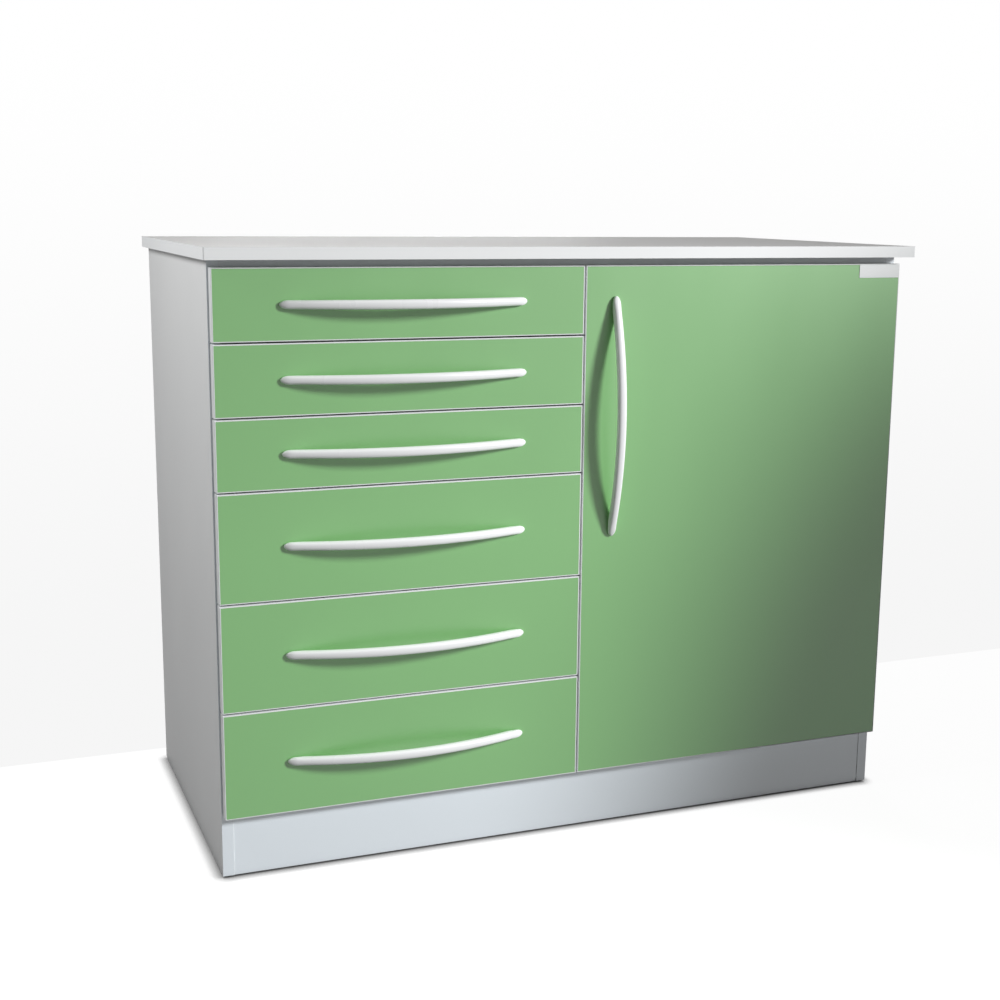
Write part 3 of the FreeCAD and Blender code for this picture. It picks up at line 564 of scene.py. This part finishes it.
def make_bow_tree():
    """Geometry Nodes for a bow handle along X, its back on the plane y = 0."""
    tree, given, result = new_group(
        "bow_handle", "GeometryNodeTree",
        {"Length": 0.34, "Reach": 0.035, "Thickness": 0.011, "Width": 0.013,
         "Tip Width": 0.0115, "Tip Height": 0.0055, "Tip Rounding": 0.011, "Foot": 0.022,
         "Squareness": 2.4, "Stations": 97, "Ring Points": 33,
         "Finish": "NodeSocketMaterial"}, GEOMETRY)
    wire = {label: Wire(tree, given[label]) for label in
            ("Length", "Reach", "Thickness", "Width", "Tip Width", "Tip Height",
             "Tip Rounding", "Foot", "Squareness")}
    grid = add_node(tree, "GeometryNodeMeshGrid",
                    {"Size X": 1.0, "Size Y": 1.0, "Vertices X": given["Stations"],
                     "Vertices Y": given["Ring Points"]})
    parted = add_node(tree, "ShaderNodeSeparateXYZ",
                      {0: add_node(tree, "GeometryNodeInputPosition").outputs[0]})
    half = wire["Length"] / 2.0
    along = Wire(tree, parted.outputs["X"])
    turn = (Wire(tree, parted.outputs["Y"]) + 0.5) * (2 * math.pi)
    # Stations crowd towards the two tips
    station = -((along + 0.5) * math.pi).math("COSINE") * half
    share = station / half
    square = share * share
    outer = wire["Tip Height"] + (wire["Reach"] - wire["Tip Height"]) * (-square + 1.0)
    hollow = station / (half - wire["Foot"])
    inner = ((wire["Reach"] - wire["Thickness"])
             * (-(hollow * hollow) + 1.0).math("MAXIMUM", 0.0))
    rounding = wire["Tip Rounding"]
    past = ((station.math("ABSOLUTE") - half + rounding) / rounding).math("MAXIMUM", 0.0)
    closing = (-(past * past) + 1.0).math("MAXIMUM", 0.0).math("SQRT")
    half_width = (wire["Width"] - (wire["Width"] - wire["Tip Width"]) * square) / 2.0 * closing
    tip_share = 0.55
    crown = outer * (closing * (1.0 - tip_share) + tip_share)
    exponent = wire["Squareness"].math("POWER", -1.0) * 2.0
    across = half_width * turn.math("COSINE").signed_power(exponent)
    middle = (crown + inner) / 2.0
    depth = (crown - inner) / 2.0
    forward = depth * turn.math("SINE").signed_power(exponent) - middle
    point = add_node(tree, "ShaderNodeCombineXYZ", {"X": station, "Y": forward, "Z": across})
    moved = add_node(tree, "GeometryNodeSetPosition",
                     {"Geometry": grid.outputs["Mesh"], "Position": point.outputs[0]})
    closed = add_node(tree, "GeometryNodeMergeByDistance",
                      {"Geometry": moved.outputs[0], "Distance": MERGE_DISTANCE})
    smooth = add_node(tree, "GeometryNodeSetShadeSmooth", {0: closed.outputs[0]})
    finish_tree(tree, smooth.outputs[0], given["Finish"], result["Geometry"])
    return tree


def finish_tree(tree, geometry, finish, result):
    """End a tree as plain geometry with its material."""
    real = add_node(tree, "GeometryNodeRealizeInstances", {0: geometry})
    dressed = add_node(tree, "GeometryNodeSetMaterial",
                       {"Geometry": real.outputs[0], "Material": finish})
    feed(tree, dressed.outputs[0], result)


def make_handle(node, tree, sizes):
    """A smooth bow handle in the place of its solid, level or upright."""
    low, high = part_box(node)
    extent = high - low
    upright = extent.z > extent.x
    mesh = grow(node + "_bow", tree, {
        "Length": max(extent.x, extent.z), "Reach": extent.y,
        "Thickness": sizes.bow_thickness, "Width": min(extent.x, extent.z),
        "Tip Width": sizes.tip_width, "Tip Height": sizes.tip_height,
        "Tip Rounding": sizes.tip_rounding, "Foot": sizes.foot,
        "Squareness": sizes.squareness, "Finish": material("handle_coating")})
    place = Matrix.Translation(((low.x + high.x) / 2, high.y, (low.z + high.z) / 2))
    if upright:
        place = place @ Matrix.Rotation(RIGHT_ANGLE, 4, "Y")
    mesh.transform(place)
    settle(node + "_bow", mesh, body_of(node), (node,))


# Screws

def make_screw_tree():
    """Geometry Nodes for pan-head screws on points that say which way they face."""
    tree, given, result = new_group(
        "pan_head_screws", "GeometryNodeTree",
        {"Geometry": "NodeSocketGeometry", "Diameter": 0.0076, "Height": 0.0018,
         "Recess": 0.0011, "Sides": 20, "Seed": 7, "Finish": "NodeSocketMaterial"}, GEOMETRY)
    radius = Wire(tree, given["Diameter"]) / 2.0
    height = Wire(tree, given["Height"])
    rim = add_node(tree, "GeometryNodeMeshCylinder",
                   {"Vertices": given["Sides"], "Radius": radius, "Depth": height / 2.0})
    rim_up = add_node(tree, "GeometryNodeTransform",
                      {"Geometry": rim.outputs[0],
                       "Translation": lift(tree, height / 4.0)})
    crown = add_node(tree, "GeometryNodeMeshCone",
                     {"Vertices": given["Sides"], "Side Segments": 1,
                      "Radius Bottom": radius, "Radius Top": radius * HEAD_CROWN,
                      "Depth": height / 2.0})
    crown_up = add_node(tree, "GeometryNodeTransform",
                        {"Geometry": crown.outputs[0],
                         "Translation": lift(tree, height / 2.0)})
    head = add_node(tree, "GeometryNodeJoinGeometry")
    for part in (rim_up, crown_up):
        tree.links.new(part.outputs[0], head.inputs[0])
    bars = add_node(tree, "GeometryNodeJoinGeometry")
    bar_length, bar_width = 1.1, 0.26
    for along_x, along_y in ((bar_length, bar_width), (bar_width, bar_length)):
        size = add_node(tree, "ShaderNodeCombineXYZ",
                        {"X": radius * along_x, "Y": radius * along_y,
                         "Z": Wire(tree, given["Recess"]) * 2.0})
        bar = add_node(tree, "GeometryNodeMeshCube", {"Size": size.outputs[0]})
        tree.links.new(bar.outputs[0], bars.inputs[0])
    bars_up = add_node(tree, "GeometryNodeTransform",
                       {"Geometry": bars.outputs[0], "Translation": lift(tree, height)})
    cut = add_node(tree, "GeometryNodeMeshBoolean", {"Mesh 1": head.outputs[0]},
                   operation="DIFFERENCE")
    tree.links.new(bars_up.outputs[0], cut.inputs["Mesh 2"])
    facing = add_node(tree, "GeometryNodeInputNamedAttribute", {"Name": "facing"},
                      data_type="FLOAT_VECTOR")
    upright = add_node(tree, "FunctionNodeAlignRotationToVector",
                       {"Vector": facing.outputs[0]}, axis="Z")
    spin = add_node(tree, "FunctionNodeRandomValue",
                    {2: 0.0, 3: math.pi, "Seed": given["Seed"]}, data_type="FLOAT")
    around = add_node(tree, "FunctionNodeAxisAngleToRotation",
                      {"Axis": (0.0, 0.0, 1.0), "Angle": spin.outputs[1]})
    turned = add_node(tree, "FunctionNodeRotateRotation",
                      {"Rotation": upright.outputs[0], "Rotate By": around.outputs[0]},
                      rotation_space="LOCAL")
    placed = add_node(tree, "GeometryNodeInstanceOnPoints",
                      {"Points": given["Geometry"], "Instance": cut.outputs[0],
                       "Rotation": turned.outputs[0]})
    finish_tree(tree, placed.outputs[0], given["Finish"], result["Geometry"])
    return tree


def lift(tree, height):
    """A vector that points up by a height."""
    return add_node(tree, "ShaderNodeCombineXYZ", {"Z": height}).outputs[0]


def make_screws(name, body, tree, places, diameter, finish):
    """Screws of one body, from pairs of a place and the way that its head faces."""
    points = bpy.data.meshes.new(name + "_points")
    points.from_pydata([tuple(place) for place, facing in places], [], [])
    attribute = points.attributes.new("facing", "FLOAT_VECTOR", "POINT")
    attribute.data.foreach_set("vector", [part for place, facing in places for part in facing])
    mesh = grow(name, tree, {"Diameter": diameter, "Height": diameter * HEAD_HEIGHT,
                             "Recess": diameter * HEAD_RECESS, "Finish": material(finish)},
                points)
    settle(name, mesh, body)


# Operators

class CABINET_OT_finishes(bpy.types.Operator):
    """Make the surface effects and the materials of all the pieces"""

    bl_idname = "cabinet.finishes"
    bl_label = "Finishes"

    def execute(self, context):
        make_pearl_surface()
        make_rolled_surface()
        make_pressed_wood()
        for name, row in material_rows(context.scene.cabinet_colours).items():
            make_material(name, *row)
        return {"FINISHED"}


class CABINET_OT_stage(bpy.types.Operator):
    """Make the floor, the wall, the lamps and the camera"""

    bl_idname = "cabinet.stage"
    bl_label = "Stage"

    def execute(self, context):
        stage = context.scene.cabinet_stage
        make_backdrop("floor", Matrix.Identity(4), paint_floor, keeps_shadow=True)
        cad_rear = cad_box[1].y
        upright = (Matrix.Translation((0, cad_rear + stage.wall_gap, 0))
                   @ Matrix.Rotation(RIGHT_ANGLE, 4, "X"))
        make_backdrop("wall", upright, paint_wall, keeps_shadow=False)
        make_daylight(stage)
        make_main_lamp(stage)
        make_soft_box("side_lamp", SIDE_LAMP_PLACE, SIDE_LAMP_AIM, SIDE_LAMP_SIZE,
                      stage.side_power)
        make_soft_box("rear_lamp", REAR_LAMP_PLACE, REAR_LAMP_AIM, REAR_LAMP_SIZE,
                      stage.rear_power)
        make_camera(stage)
        return {"FINISHED"}


class CABINET_OT_carcass(bpy.types.Operator):
    """Dress the worktop, the side panels and the boards between them"""

    bl_idname = "cabinet.carcass"
    bl_label = "Carcass"

    def execute(self, context):
        sizes = context.scene.cabinet_sizes
        softness = sizes.board_softness
        make_board("worktop", sizes.top_softness, "worktop_laminate",
                   nose="white_plastic")
        for node in ("left_side_panel", "right_side_panel"):
            make_board(node, softness, bare=ALL_BUT_FRONT_EDGE, nose="plinth_laminate")
        make_board("plinth_board", softness, "plinth_laminate")
        for node in ("partition_panel", "bottom_panel", "shelf"):
            make_board(node, softness)
        make_board("top_rails", softness, nose="plinth_laminate")
        make_sheet("back_panel", axis=1, bare_sign=1)
        return {"FINISHED"}


class CABINET_OT_fronts(bpy.types.Operator):
    """Dress the drawer fronts and the door, with their edge bands and the blank plate"""

    bl_idname = "cabinet.fronts"
    bl_label = "Fronts"

    def execute(self, context):
        sizes = context.scene.cabinet_sizes
        for number in DRAWERS:
            make_front("drawer_%d_front" % number, "drawer_%d_edging" % number, sizes)
        make_front("door_panel", "door_edging", sizes)
        make_blank_plate(sizes)
        return {"FINISHED"}


class CABINET_OT_handles(bpy.types.Operator):
    """Make the seven bow handles"""

    bl_idname = "cabinet.handles"
    bl_label = "Handles"

    def execute(self, context):
        tree = make_bow_tree()
        sizes = context.scene.cabinet_sizes
        for number in DRAWERS:
            make_handle("drawer_%d_handle" % number, tree, sizes)
        make_handle("door_handle", tree, sizes)
        return {"FINISHED"}


class CABINET_OT_drawer_boxes(bpy.types.Operator):
    """Dress the drawer boxes and their bottoms"""

    bl_idname = "cabinet.drawer_boxes"
    bl_label = "Drawer boxes"

    def execute(self, context):
        softness = context.scene.cabinet_sizes.board_softness
        for number in DRAWERS:
            make_drawer_box("drawer_%d_box" % number, softness)
            make_sheet("drawer_%d_bottom" % number, axis=2, bare_sign=-1)
        return {"FINISHED"}


class CABINET_OT_metalwork(bpy.types.Operator):
    """Finish the runners, hinges, shelf pins and glides"""

    bl_idname = "cabinet.metalwork"
    bl_label = "Metalwork"

    def execute(self, context):
        steel = ["cabinet_runners", "shelf_pins"]
        for number in DRAWERS:
            steel += ["drawer_%d_runners" % number, "drawer_%d_runner_middles" % number]
        for node in steel:
            dress_solid(node, "runner_steel")
        for node in ("hinge_cups", "hinge_arms", "hinge_links"):
            dress_solid(node, "hinge_steel")
        dress_solid("floor_glides", "white_plastic")
        return {"FINISHED"}


class CABINET_OT_screws(bpy.types.Operator):
    """Drive the screws of the fronts, hinges and back"""

    bl_idname = "cabinet.screws"
    bl_label = "Screws"

    def execute(self, context):
        tree = make_screw_tree()
        head = context.scene.cabinet_sizes.screw_head
        for number in DRAWERS:
            make_screws("drawer_%d_screws" % number, "drawer_%d" % number, tree,
                        front_screw_places(number), head, "runner_steel")
        make_screws("door_screws", "door", tree, door_screw_places(), head,
                    "hinge_steel")
        make_screws("cabinet_screws", "cabinet", tree, cabinet_screw_places(), head,
                    "runner_steel")
        return {"FINISHED"}


STEPS = (CABINET_OT_finishes, CABINET_OT_stage, CABINET_OT_carcass, CABINET_OT_fronts,
         CABINET_OT_handles, CABINET_OT_drawer_boxes, CABINET_OT_metalwork, CABINET_OT_screws)


# Boards, fronts and drawer boxes

def make_sheet(node, axis, bare_sign):
    """A hardboard sheet, white on one face and bare brown on the other."""
    work = merged_copy(node)
    for face in work.faces:
        face.material_index = int(face.normal[axis] * bare_sign > SQUARE_TO_AXIS)
    name = node + "_dressed"
    mesh = to_mesh(work, name, ("white_laminate", "bare_hardboard"))
    settle(name, mesh, body_of(node), (node,))


def make_front(panel, band, sizes):
    """A laminated front with its edge band round it."""
    low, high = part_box(band)

    def outer(edge):
        return all(touches(vert.co, low, high, (0, 2)) for vert in edge.verts)

    work = merged_copy(band)
    soften(work, sizes.band_softness, outer, segments=3)
    name = band + "_dressed"
    settle(name, to_mesh(work, name, ("edge_band",)), body_of(band), (band,))

    work = merged_copy(panel)
    soften(work, sizes.board_softness / 4, lambda edge: True, segments=1)
    name = panel + "_dressed"
    settle(name, to_mesh(work, name, ("green_laminate",)), body_of(panel),
           (panel,))


def touches(point, low, high, axes):
    """True for a point on the outside of the box along one of the axes."""
    return any(min(abs(point[axis] - low[axis]), abs(point[axis] - high[axis])) < TOUCHING_BOX
               for axis in axes)


def make_blank_plate(sizes):
    """The small blank plate at the top of the door's hinged side."""
    low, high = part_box("door_panel")
    width, height, thickness = sizes.plate_width, sizes.plate_height, sizes.plate_thickness
    work = bmesh.new()
    bmesh.ops.create_cube(work, size=1.0)
    centre = Vector((high.x - width / 2, low.y - thickness / 2, high.z - height / 2))
    bmesh.ops.transform(work, matrix=Matrix.Translation(centre)
                        @ Matrix.Diagonal((width, thickness, height, 1.0)), verts=work.verts)
    corners = [edge for edge in work.edges
               if abs(edge.verts[0].co.y - edge.verts[1].co.y) > thickness / 2]
    bmesh.ops.bevel(work, geom=corners, offset=PLATE_CORNER, segments=4, profile=0.5,
                    affect="EDGES")
    rim = [edge for edge in work.edges
           if all(vert.co.y < low.y - thickness / 2 for vert in edge.verts)
           and edge.calc_face_angle() > SHARP_ANGLE]
    bmesh.ops.bevel(work, geom=rim, offset=thickness / 3, segments=2, profile=0.5,
                    affect="EDGES")
    mesh = to_mesh(work, "door_blank_plate", ("white_plastic",))
    settle("door_blank_plate", mesh, "door")


def make_drawer_box(node, softness):
    """The four boards of a drawer box, with banded upper edges and bare grooves."""
    low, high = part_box(node)
    on_band, on_bare = 1, 2
    work = merged_copy(node)
    soften(work, softness, lambda edge: True)
    for face in work.faces:
        if abs(face.normal.z) > SQUARE_TO_AXIS:
            face.material_index = on_band if on_hull(face, low, high, 2) else on_bare
    name = node + "_dressed"
    mesh = to_mesh(work, name, ("white_laminate", "edge_band", "bare_chipboard"))
    settle(name, mesh, body_of(node), (node,))


def dress_solid(node, finish):
    """Give a solid that keeps its own mesh a better material."""
    for slot in frame["nodes"][node].material_slots:
        slot.link = "OBJECT"
        slot.material = material(finish)


# Places of the screws

def front_screw_places(number):
    """Screws through a drawer box's inner front into its front."""
    low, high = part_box("drawer_%d_box" % number)
    bottom_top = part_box("drawer_%d_bottom" % number)[1].z
    inside = low.y + board_thickness()
    middle = (low.x + high.x) / 2
    lower = bottom_top + BOX_SCREW_INSET
    upper = high.z - BOX_SCREW_INSET
    return [(Vector((middle + side * BOX_SCREW_FROM_MIDDLE, inside, height)), (0, 1, 0))
            for side in (-1, 1) for height in (lower, upper)]


def board_thickness():
    """Thickness of the boards, read from the shelf."""
    low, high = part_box("shelf")
    return high.z - low.z


def door_screw_places():
    """Screws of the handle and of the hinge cups, on the door's inner side."""
    handle_low, handle_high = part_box("door_handle")
    door_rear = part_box("door_panel")[1].y
    cup_low, cup_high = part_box("hinge_cups")
    across = (handle_low.x + handle_high.x) / 2
    places = [(Vector((across, door_rear, height)), (0, 1, 0))
              for height in (handle_low.z + HANDLE_SCREW_INSET,
                             handle_high.z - HANDLE_SCREW_INSET)]
    cup_x = (cup_low.x + cup_high.x) / 2
    for centre in (cup_low.z + CUP_CENTRE_INSET, cup_high.z - CUP_CENTRE_INSET):
        for side in (-1, 1):
            height = centre + side * CUP_SCREW_FROM_CENTRE
            places.append((Vector((cup_x, cup_high.y, height)), (0, 1, 0)))
    return places


def cabinet_screw_places():
    """Screws of the hinge plates, and of the back into the boards that it covers."""
    arm_low, arm_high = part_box("hinge_arms")
    plate_face = arm_high.x - HINGE_PLATE_THICKNESS
    along_plate = arm_high.y - HINGE_SCREW_FROM_REAR
    places = []
    for centre in (arm_low.z + ARM_CENTRE_INSET, arm_high.z - ARM_CENTRE_INSET):
        for side in (-1, 1):
            height = centre + side * HINGE_SCREW_FROM_CENTRE
            places.append((Vector((plate_face, along_plate, height)), (-1, 0, 0)))
    back_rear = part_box("back_panel")[1].y
    bottom_low, bottom_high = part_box("bottom_panel")
    rail_low, rail_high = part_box("top_rails")
    rows = ((bottom_low.z + bottom_high.z) / 2, (rail_low.z + rail_high.z) / 2)
    first = bottom_low.x + BACK_SCREW_INSET
    row_length = bottom_high.x - bottom_low.x - 2 * BACK_SCREW_INSET
    pitch = row_length / (BACK_SCREWS_IN_ROW - 1)
    for height in rows:
        for index in range(BACK_SCREWS_IN_ROW):
            places.append((Vector((first + index * pitch, back_rear, height)), (0, 1, 0)))
    return places


# Stage

def make_backdrop(name, place, paint, keeps_shadow):
    """A large sheet that the camera sees as pale, and that may keep the object's shadow."""
    work = bmesh.new()
    bmesh.ops.create_grid(work, x_segments=1, y_segments=1, size=BACKDROP_SIZE / 2,
                          matrix=place)
    mesh = bpy.data.meshes.new(name)
    work.to_mesh(mesh)
    work.free()
    sheet = bpy.data.objects.new(name, mesh)
    bpy.context.scene.collection.objects.link(sheet)
    finish = bpy.data.materials.new(name + "_paint")
    finish.use_nodes = True
    finish.cycles.emission_sampling = "NONE"
    tree = finish.node_tree
    tree.nodes.remove(tree.nodes["Principled BSDF"])
    feed(tree, paint(tree), tree.nodes["Material Output"].inputs["Surface"])
    mesh.materials.append(finish)
    sheet.visible_shadow = keeps_shadow


def paint_floor(tree):
    """Pale glow to the eye, with painted shade where it fades at the object's foot, over paint
    that takes shadow.
    """
    seen = looking_ray(tree)
    grey = (FLOOR_PAINT, FLOOR_PAINT, FLOOR_PAINT, 1.0)
    paint = add_node(tree, "ShaderNodeBsdfDiffuse", {"Color": grey})
    near = add_node(tree, "ShaderNodeAmbientOcclusion", {"Distance": PAINTED_CONTACT_SHADE_REACH},
                    samples=8)
    # Painted shade: ambient occlusion, squared, darkens the floor's glow at the object's foot
    painted_foot_shade = Wire(tree, near.outputs["AO"])
    glow = add_node(tree, "ShaderNodeEmission",
                    {"Strength": seen * painted_foot_shade * painted_foot_shade * FLOOR_GLOW})
    both = add_node(tree, "ShaderNodeAddShader", {0: paint.outputs[0], 1: glow.outputs[0]})
    return both.outputs[0]


def paint_wall(tree):
    """Glow that only the camera sees, from the front, and that grows whiter with height."""
    back = Wire(tree, add_node(tree, "ShaderNodeNewGeometry").outputs["Backfacing"])
    path = add_node(tree, "ShaderNodeLightPath")
    shown = Wire(tree, path.outputs["Is Camera Ray"]) * (-back + 1.0)
    clear = add_node(tree, "ShaderNodeBsdfTransparent")
    height = add_node(tree, "ShaderNodeSeparateXYZ",
                      {0: add_node(tree, "ShaderNodeNewGeometry").outputs["Position"]})
    rise = add_node(tree, "ShaderNodeMapRange",
                    {"Value": height.outputs["Z"], "From Min": WALL_FADE_FOOT,
                     "From Max": WALL_FADE_TOP, "To Min": WALL_FOOT_GLOW, "To Max": 1.0},
                    interpolation_type="SMOOTHSTEP")
    glow = add_node(tree, "ShaderNodeEmission", {"Strength": rise.outputs[0]})
    both = add_node(tree, "ShaderNodeMixShader",
                    {0: shown, 1: clear.outputs[0], 2: glow.outputs[0]})
    return both.outputs[0]


def looking_ray(tree):
    """1 for what the camera sees, straight, mirrored or through glass, and 0 for lighting."""
    path = add_node(tree, "ShaderNodeLightPath")
    seen = Wire(tree, path.outputs["Is Camera Ray"])
    for ray in ("Is Glossy Ray", "Is Transmission Ray"):
        seen = seen.math("MAXIMUM", Wire(tree, path.outputs[ray]))
    return seen


def make_daylight(stage):
    """Even light from all round. Camera, gloss and glass see it as white."""
    world = bpy.data.worlds.new("daylight")
    bpy.context.scene.world = world
    world.use_nodes = True
    tree = world.node_tree
    background = tree.nodes["Background"]
    feed(tree, (1.0, 1.0, 1.0, 1.0), background.inputs["Color"])
    world.cycles.sampling_method = "NONE"
    strength = looking_ray(tree) * (1.0 - stage.daylight) + stage.daylight
    feed(tree, strength, background.inputs["Strength"])


def put_lamp(name, data, place, aim):
    """Stand a lamp at a place and aim it."""
    lamp = bpy.data.objects.new(name, data)
    bpy.context.scene.collection.objects.link(lamp)
    turn = (Vector(aim) - Vector(place)).to_track_quat("-Z", "Y")
    lamp.matrix_world = Matrix.Translation(place) @ turn.to_matrix().to_4x4()


def make_main_lamp(stage):
    """The main lamp: soft, from the right and a little above.

    Its barn door shuts the beam out to the lower right, along an edge that bends away from
    a middle, and a scrim weakens it towards the worktop.
    """
    data = bpy.data.lights.new("main_lamp", "SPOT")
    data.energy = stage.lamp_power
    data.spot_size = BEAM_ANGLE
    data.spot_blend = BEAM_BLEND
    data.shadow_soft_size = MAIN_LAMP_RADIUS
    data.specular_factor = MAIN_LAMP_GLOSS
    data.use_nodes = True
    tree = data.node_tree
    place = Vector(MAIN_LAMP_PLACE)
    aim = Vector(MAIN_LAMP_AIM)
    axis = (aim - place).normalized()
    side = axis.cross((0, 0, 1)).normalized()
    rise = side.cross(axis)
    across = side * math.cos(stage.door_angle) + rise * math.sin(stage.door_angle)
    lengthways = rise * math.cos(stage.door_angle) - side * math.sin(stage.door_angle)
    lit = lit_place(tree, place)
    reach = along(tree, lit, axis)
    from_middle = along(tree, lit, lengthways) / reach + BARN_DOOR_SHIFT
    slope = along(tree, lit, across) / reach + from_middle * from_middle * stage.door_bow
    opened = add_node(tree, "ShaderNodeMapRange",
                      {"Value": slope, "From Min": stage.door_edge,
                       "From Max": stage.door_edge + stage.door_blur},
                      interpolation_type="SMOOTHSTEP")
    height = along(tree, lit, (0.0, 0.0, 1.0)) + place.z
    scrim = add_node(tree, "ShaderNodeMapRange",
                     {"Value": height, "From Min": SCRIM_FOOT, "From Max": SCRIM_TOP,
                      "To Min": 1.0, "To Max": stage.scrim})
    feed(tree, Wire(tree, opened.outputs[0]) * Wire(tree, scrim.outputs[0]),
         tree.nodes["Emission"].inputs["Strength"])
    put_lamp("main_lamp", data, place, aim)


def lit_place(tree, place):
    """Where the light falls, seen from the lamp's middle, whichever point of it shines."""
    shining = add_node(tree, "ShaderNodeNewGeometry")
    beam = add_node(tree, "ShaderNodeVectorMath",
                    {0: shining.outputs["Normal"]}, operation="SCALE")
    feed(tree, add_node(tree, "ShaderNodeLightPath").outputs["Ray Length"],
         beam.inputs["Scale"])
    end = add_node(tree, "ShaderNodeVectorMath",
                   {0: shining.outputs["Position"], 1: beam.outputs[0]}, operation="ADD")
    return add_node(tree, "ShaderNodeVectorMath", {0: end.outputs[0], 1: place},
                    operation="SUBTRACT").outputs[0]


def along(tree, vector, direction):
    """How far a vector reaches along a direction."""
    node = add_node(tree, "ShaderNodeVectorMath", {0: vector, 1: direction},
                    operation="DOT_PRODUCT")
    return Wire(tree, node.outputs["Value"])


def make_soft_box(name, place, aim, size, power):
    """A square soft box that fills the shade."""
    data = bpy.data.lights.new(name, "AREA")
    data.energy = power
    data.size = size
    data.specular_factor = SOFT_BOX_GLOSS
    put_lamp(name, data, place, aim)


def make_camera(stage):
    """The camera, from where the photo's perspective is seen."""
    data = bpy.data.cameras.new("camera")
    data.lens = stage.focal_length
    data.sensor_width = SENSOR_WIDTH
    data.shift_x, data.shift_y = CAMERA_SHIFT
    camera = bpy.data.objects.new("camera", data)
    bpy.context.scene.collection.objects.link(camera)
    right = Vector(CAMERA_RIGHT)
    up = Vector(CAMERA_UP)
    back = right.cross(up)
    turn = Matrix((right, up, back)).transposed().to_4x4()
    camera.matrix_world = Matrix.Translation(CAMERA_PLACE) @ turn
    bpy.context.scene.camera = camera
    bpy.context.scene.view_settings.view_transform = "Standard"


# Sidebar

class CABINET_PT_steps(bpy.types.Panel):
    """The cabinet's values and its steps, in the order in which they run"""

    bl_idname = "CABINET_PT_steps"
    bl_label = "Clinic Cabinet"
    bl_space_type = "VIEW_3D"
    bl_region_type = "UI"
    bl_category = "Cabinet"

    def draw(self, context):
        for step in STEPS:
            self.layout.operator(step.bl_idname)
        for group in (context.scene.cabinet_colours, context.scene.cabinet_sizes,
                      context.scene.cabinet_stage):
            box = self.layout.box()
            for name in group.__annotations__:
                box.prop(group, name)


CLASSES = (CabinetColours, CabinetSizes, CabinetStage, *STEPS, CABINET_PT_steps)


def register():
    """Add the classes, and the values to the scene."""
    for item in CLASSES:
        bpy.utils.register_class(item)
    bpy.types.Scene.cabinet_colours = PointerProperty(type=CabinetColours)
    bpy.types.Scene.cabinet_sizes = PointerProperty(type=CabinetSizes)
    bpy.types.Scene.cabinet_stage = PointerProperty(type=CabinetStage)


def unregister():
    """Take the values and the classes away again."""
    del bpy.types.Scene.cabinet_stage
    del bpy.types.Scene.cabinet_sizes
    del bpy.types.Scene.cabinet_colours
    for item in reversed(CLASSES):
        bpy.utils.unregister_class(item)


def main():
    """Register, and make everything in order."""
    register()
    for step in STEPS:
        area, name = step.bl_idname.split(".")
        getattr(getattr(bpy.ops, area), name)()


if __name__ == "__main__":
    main()
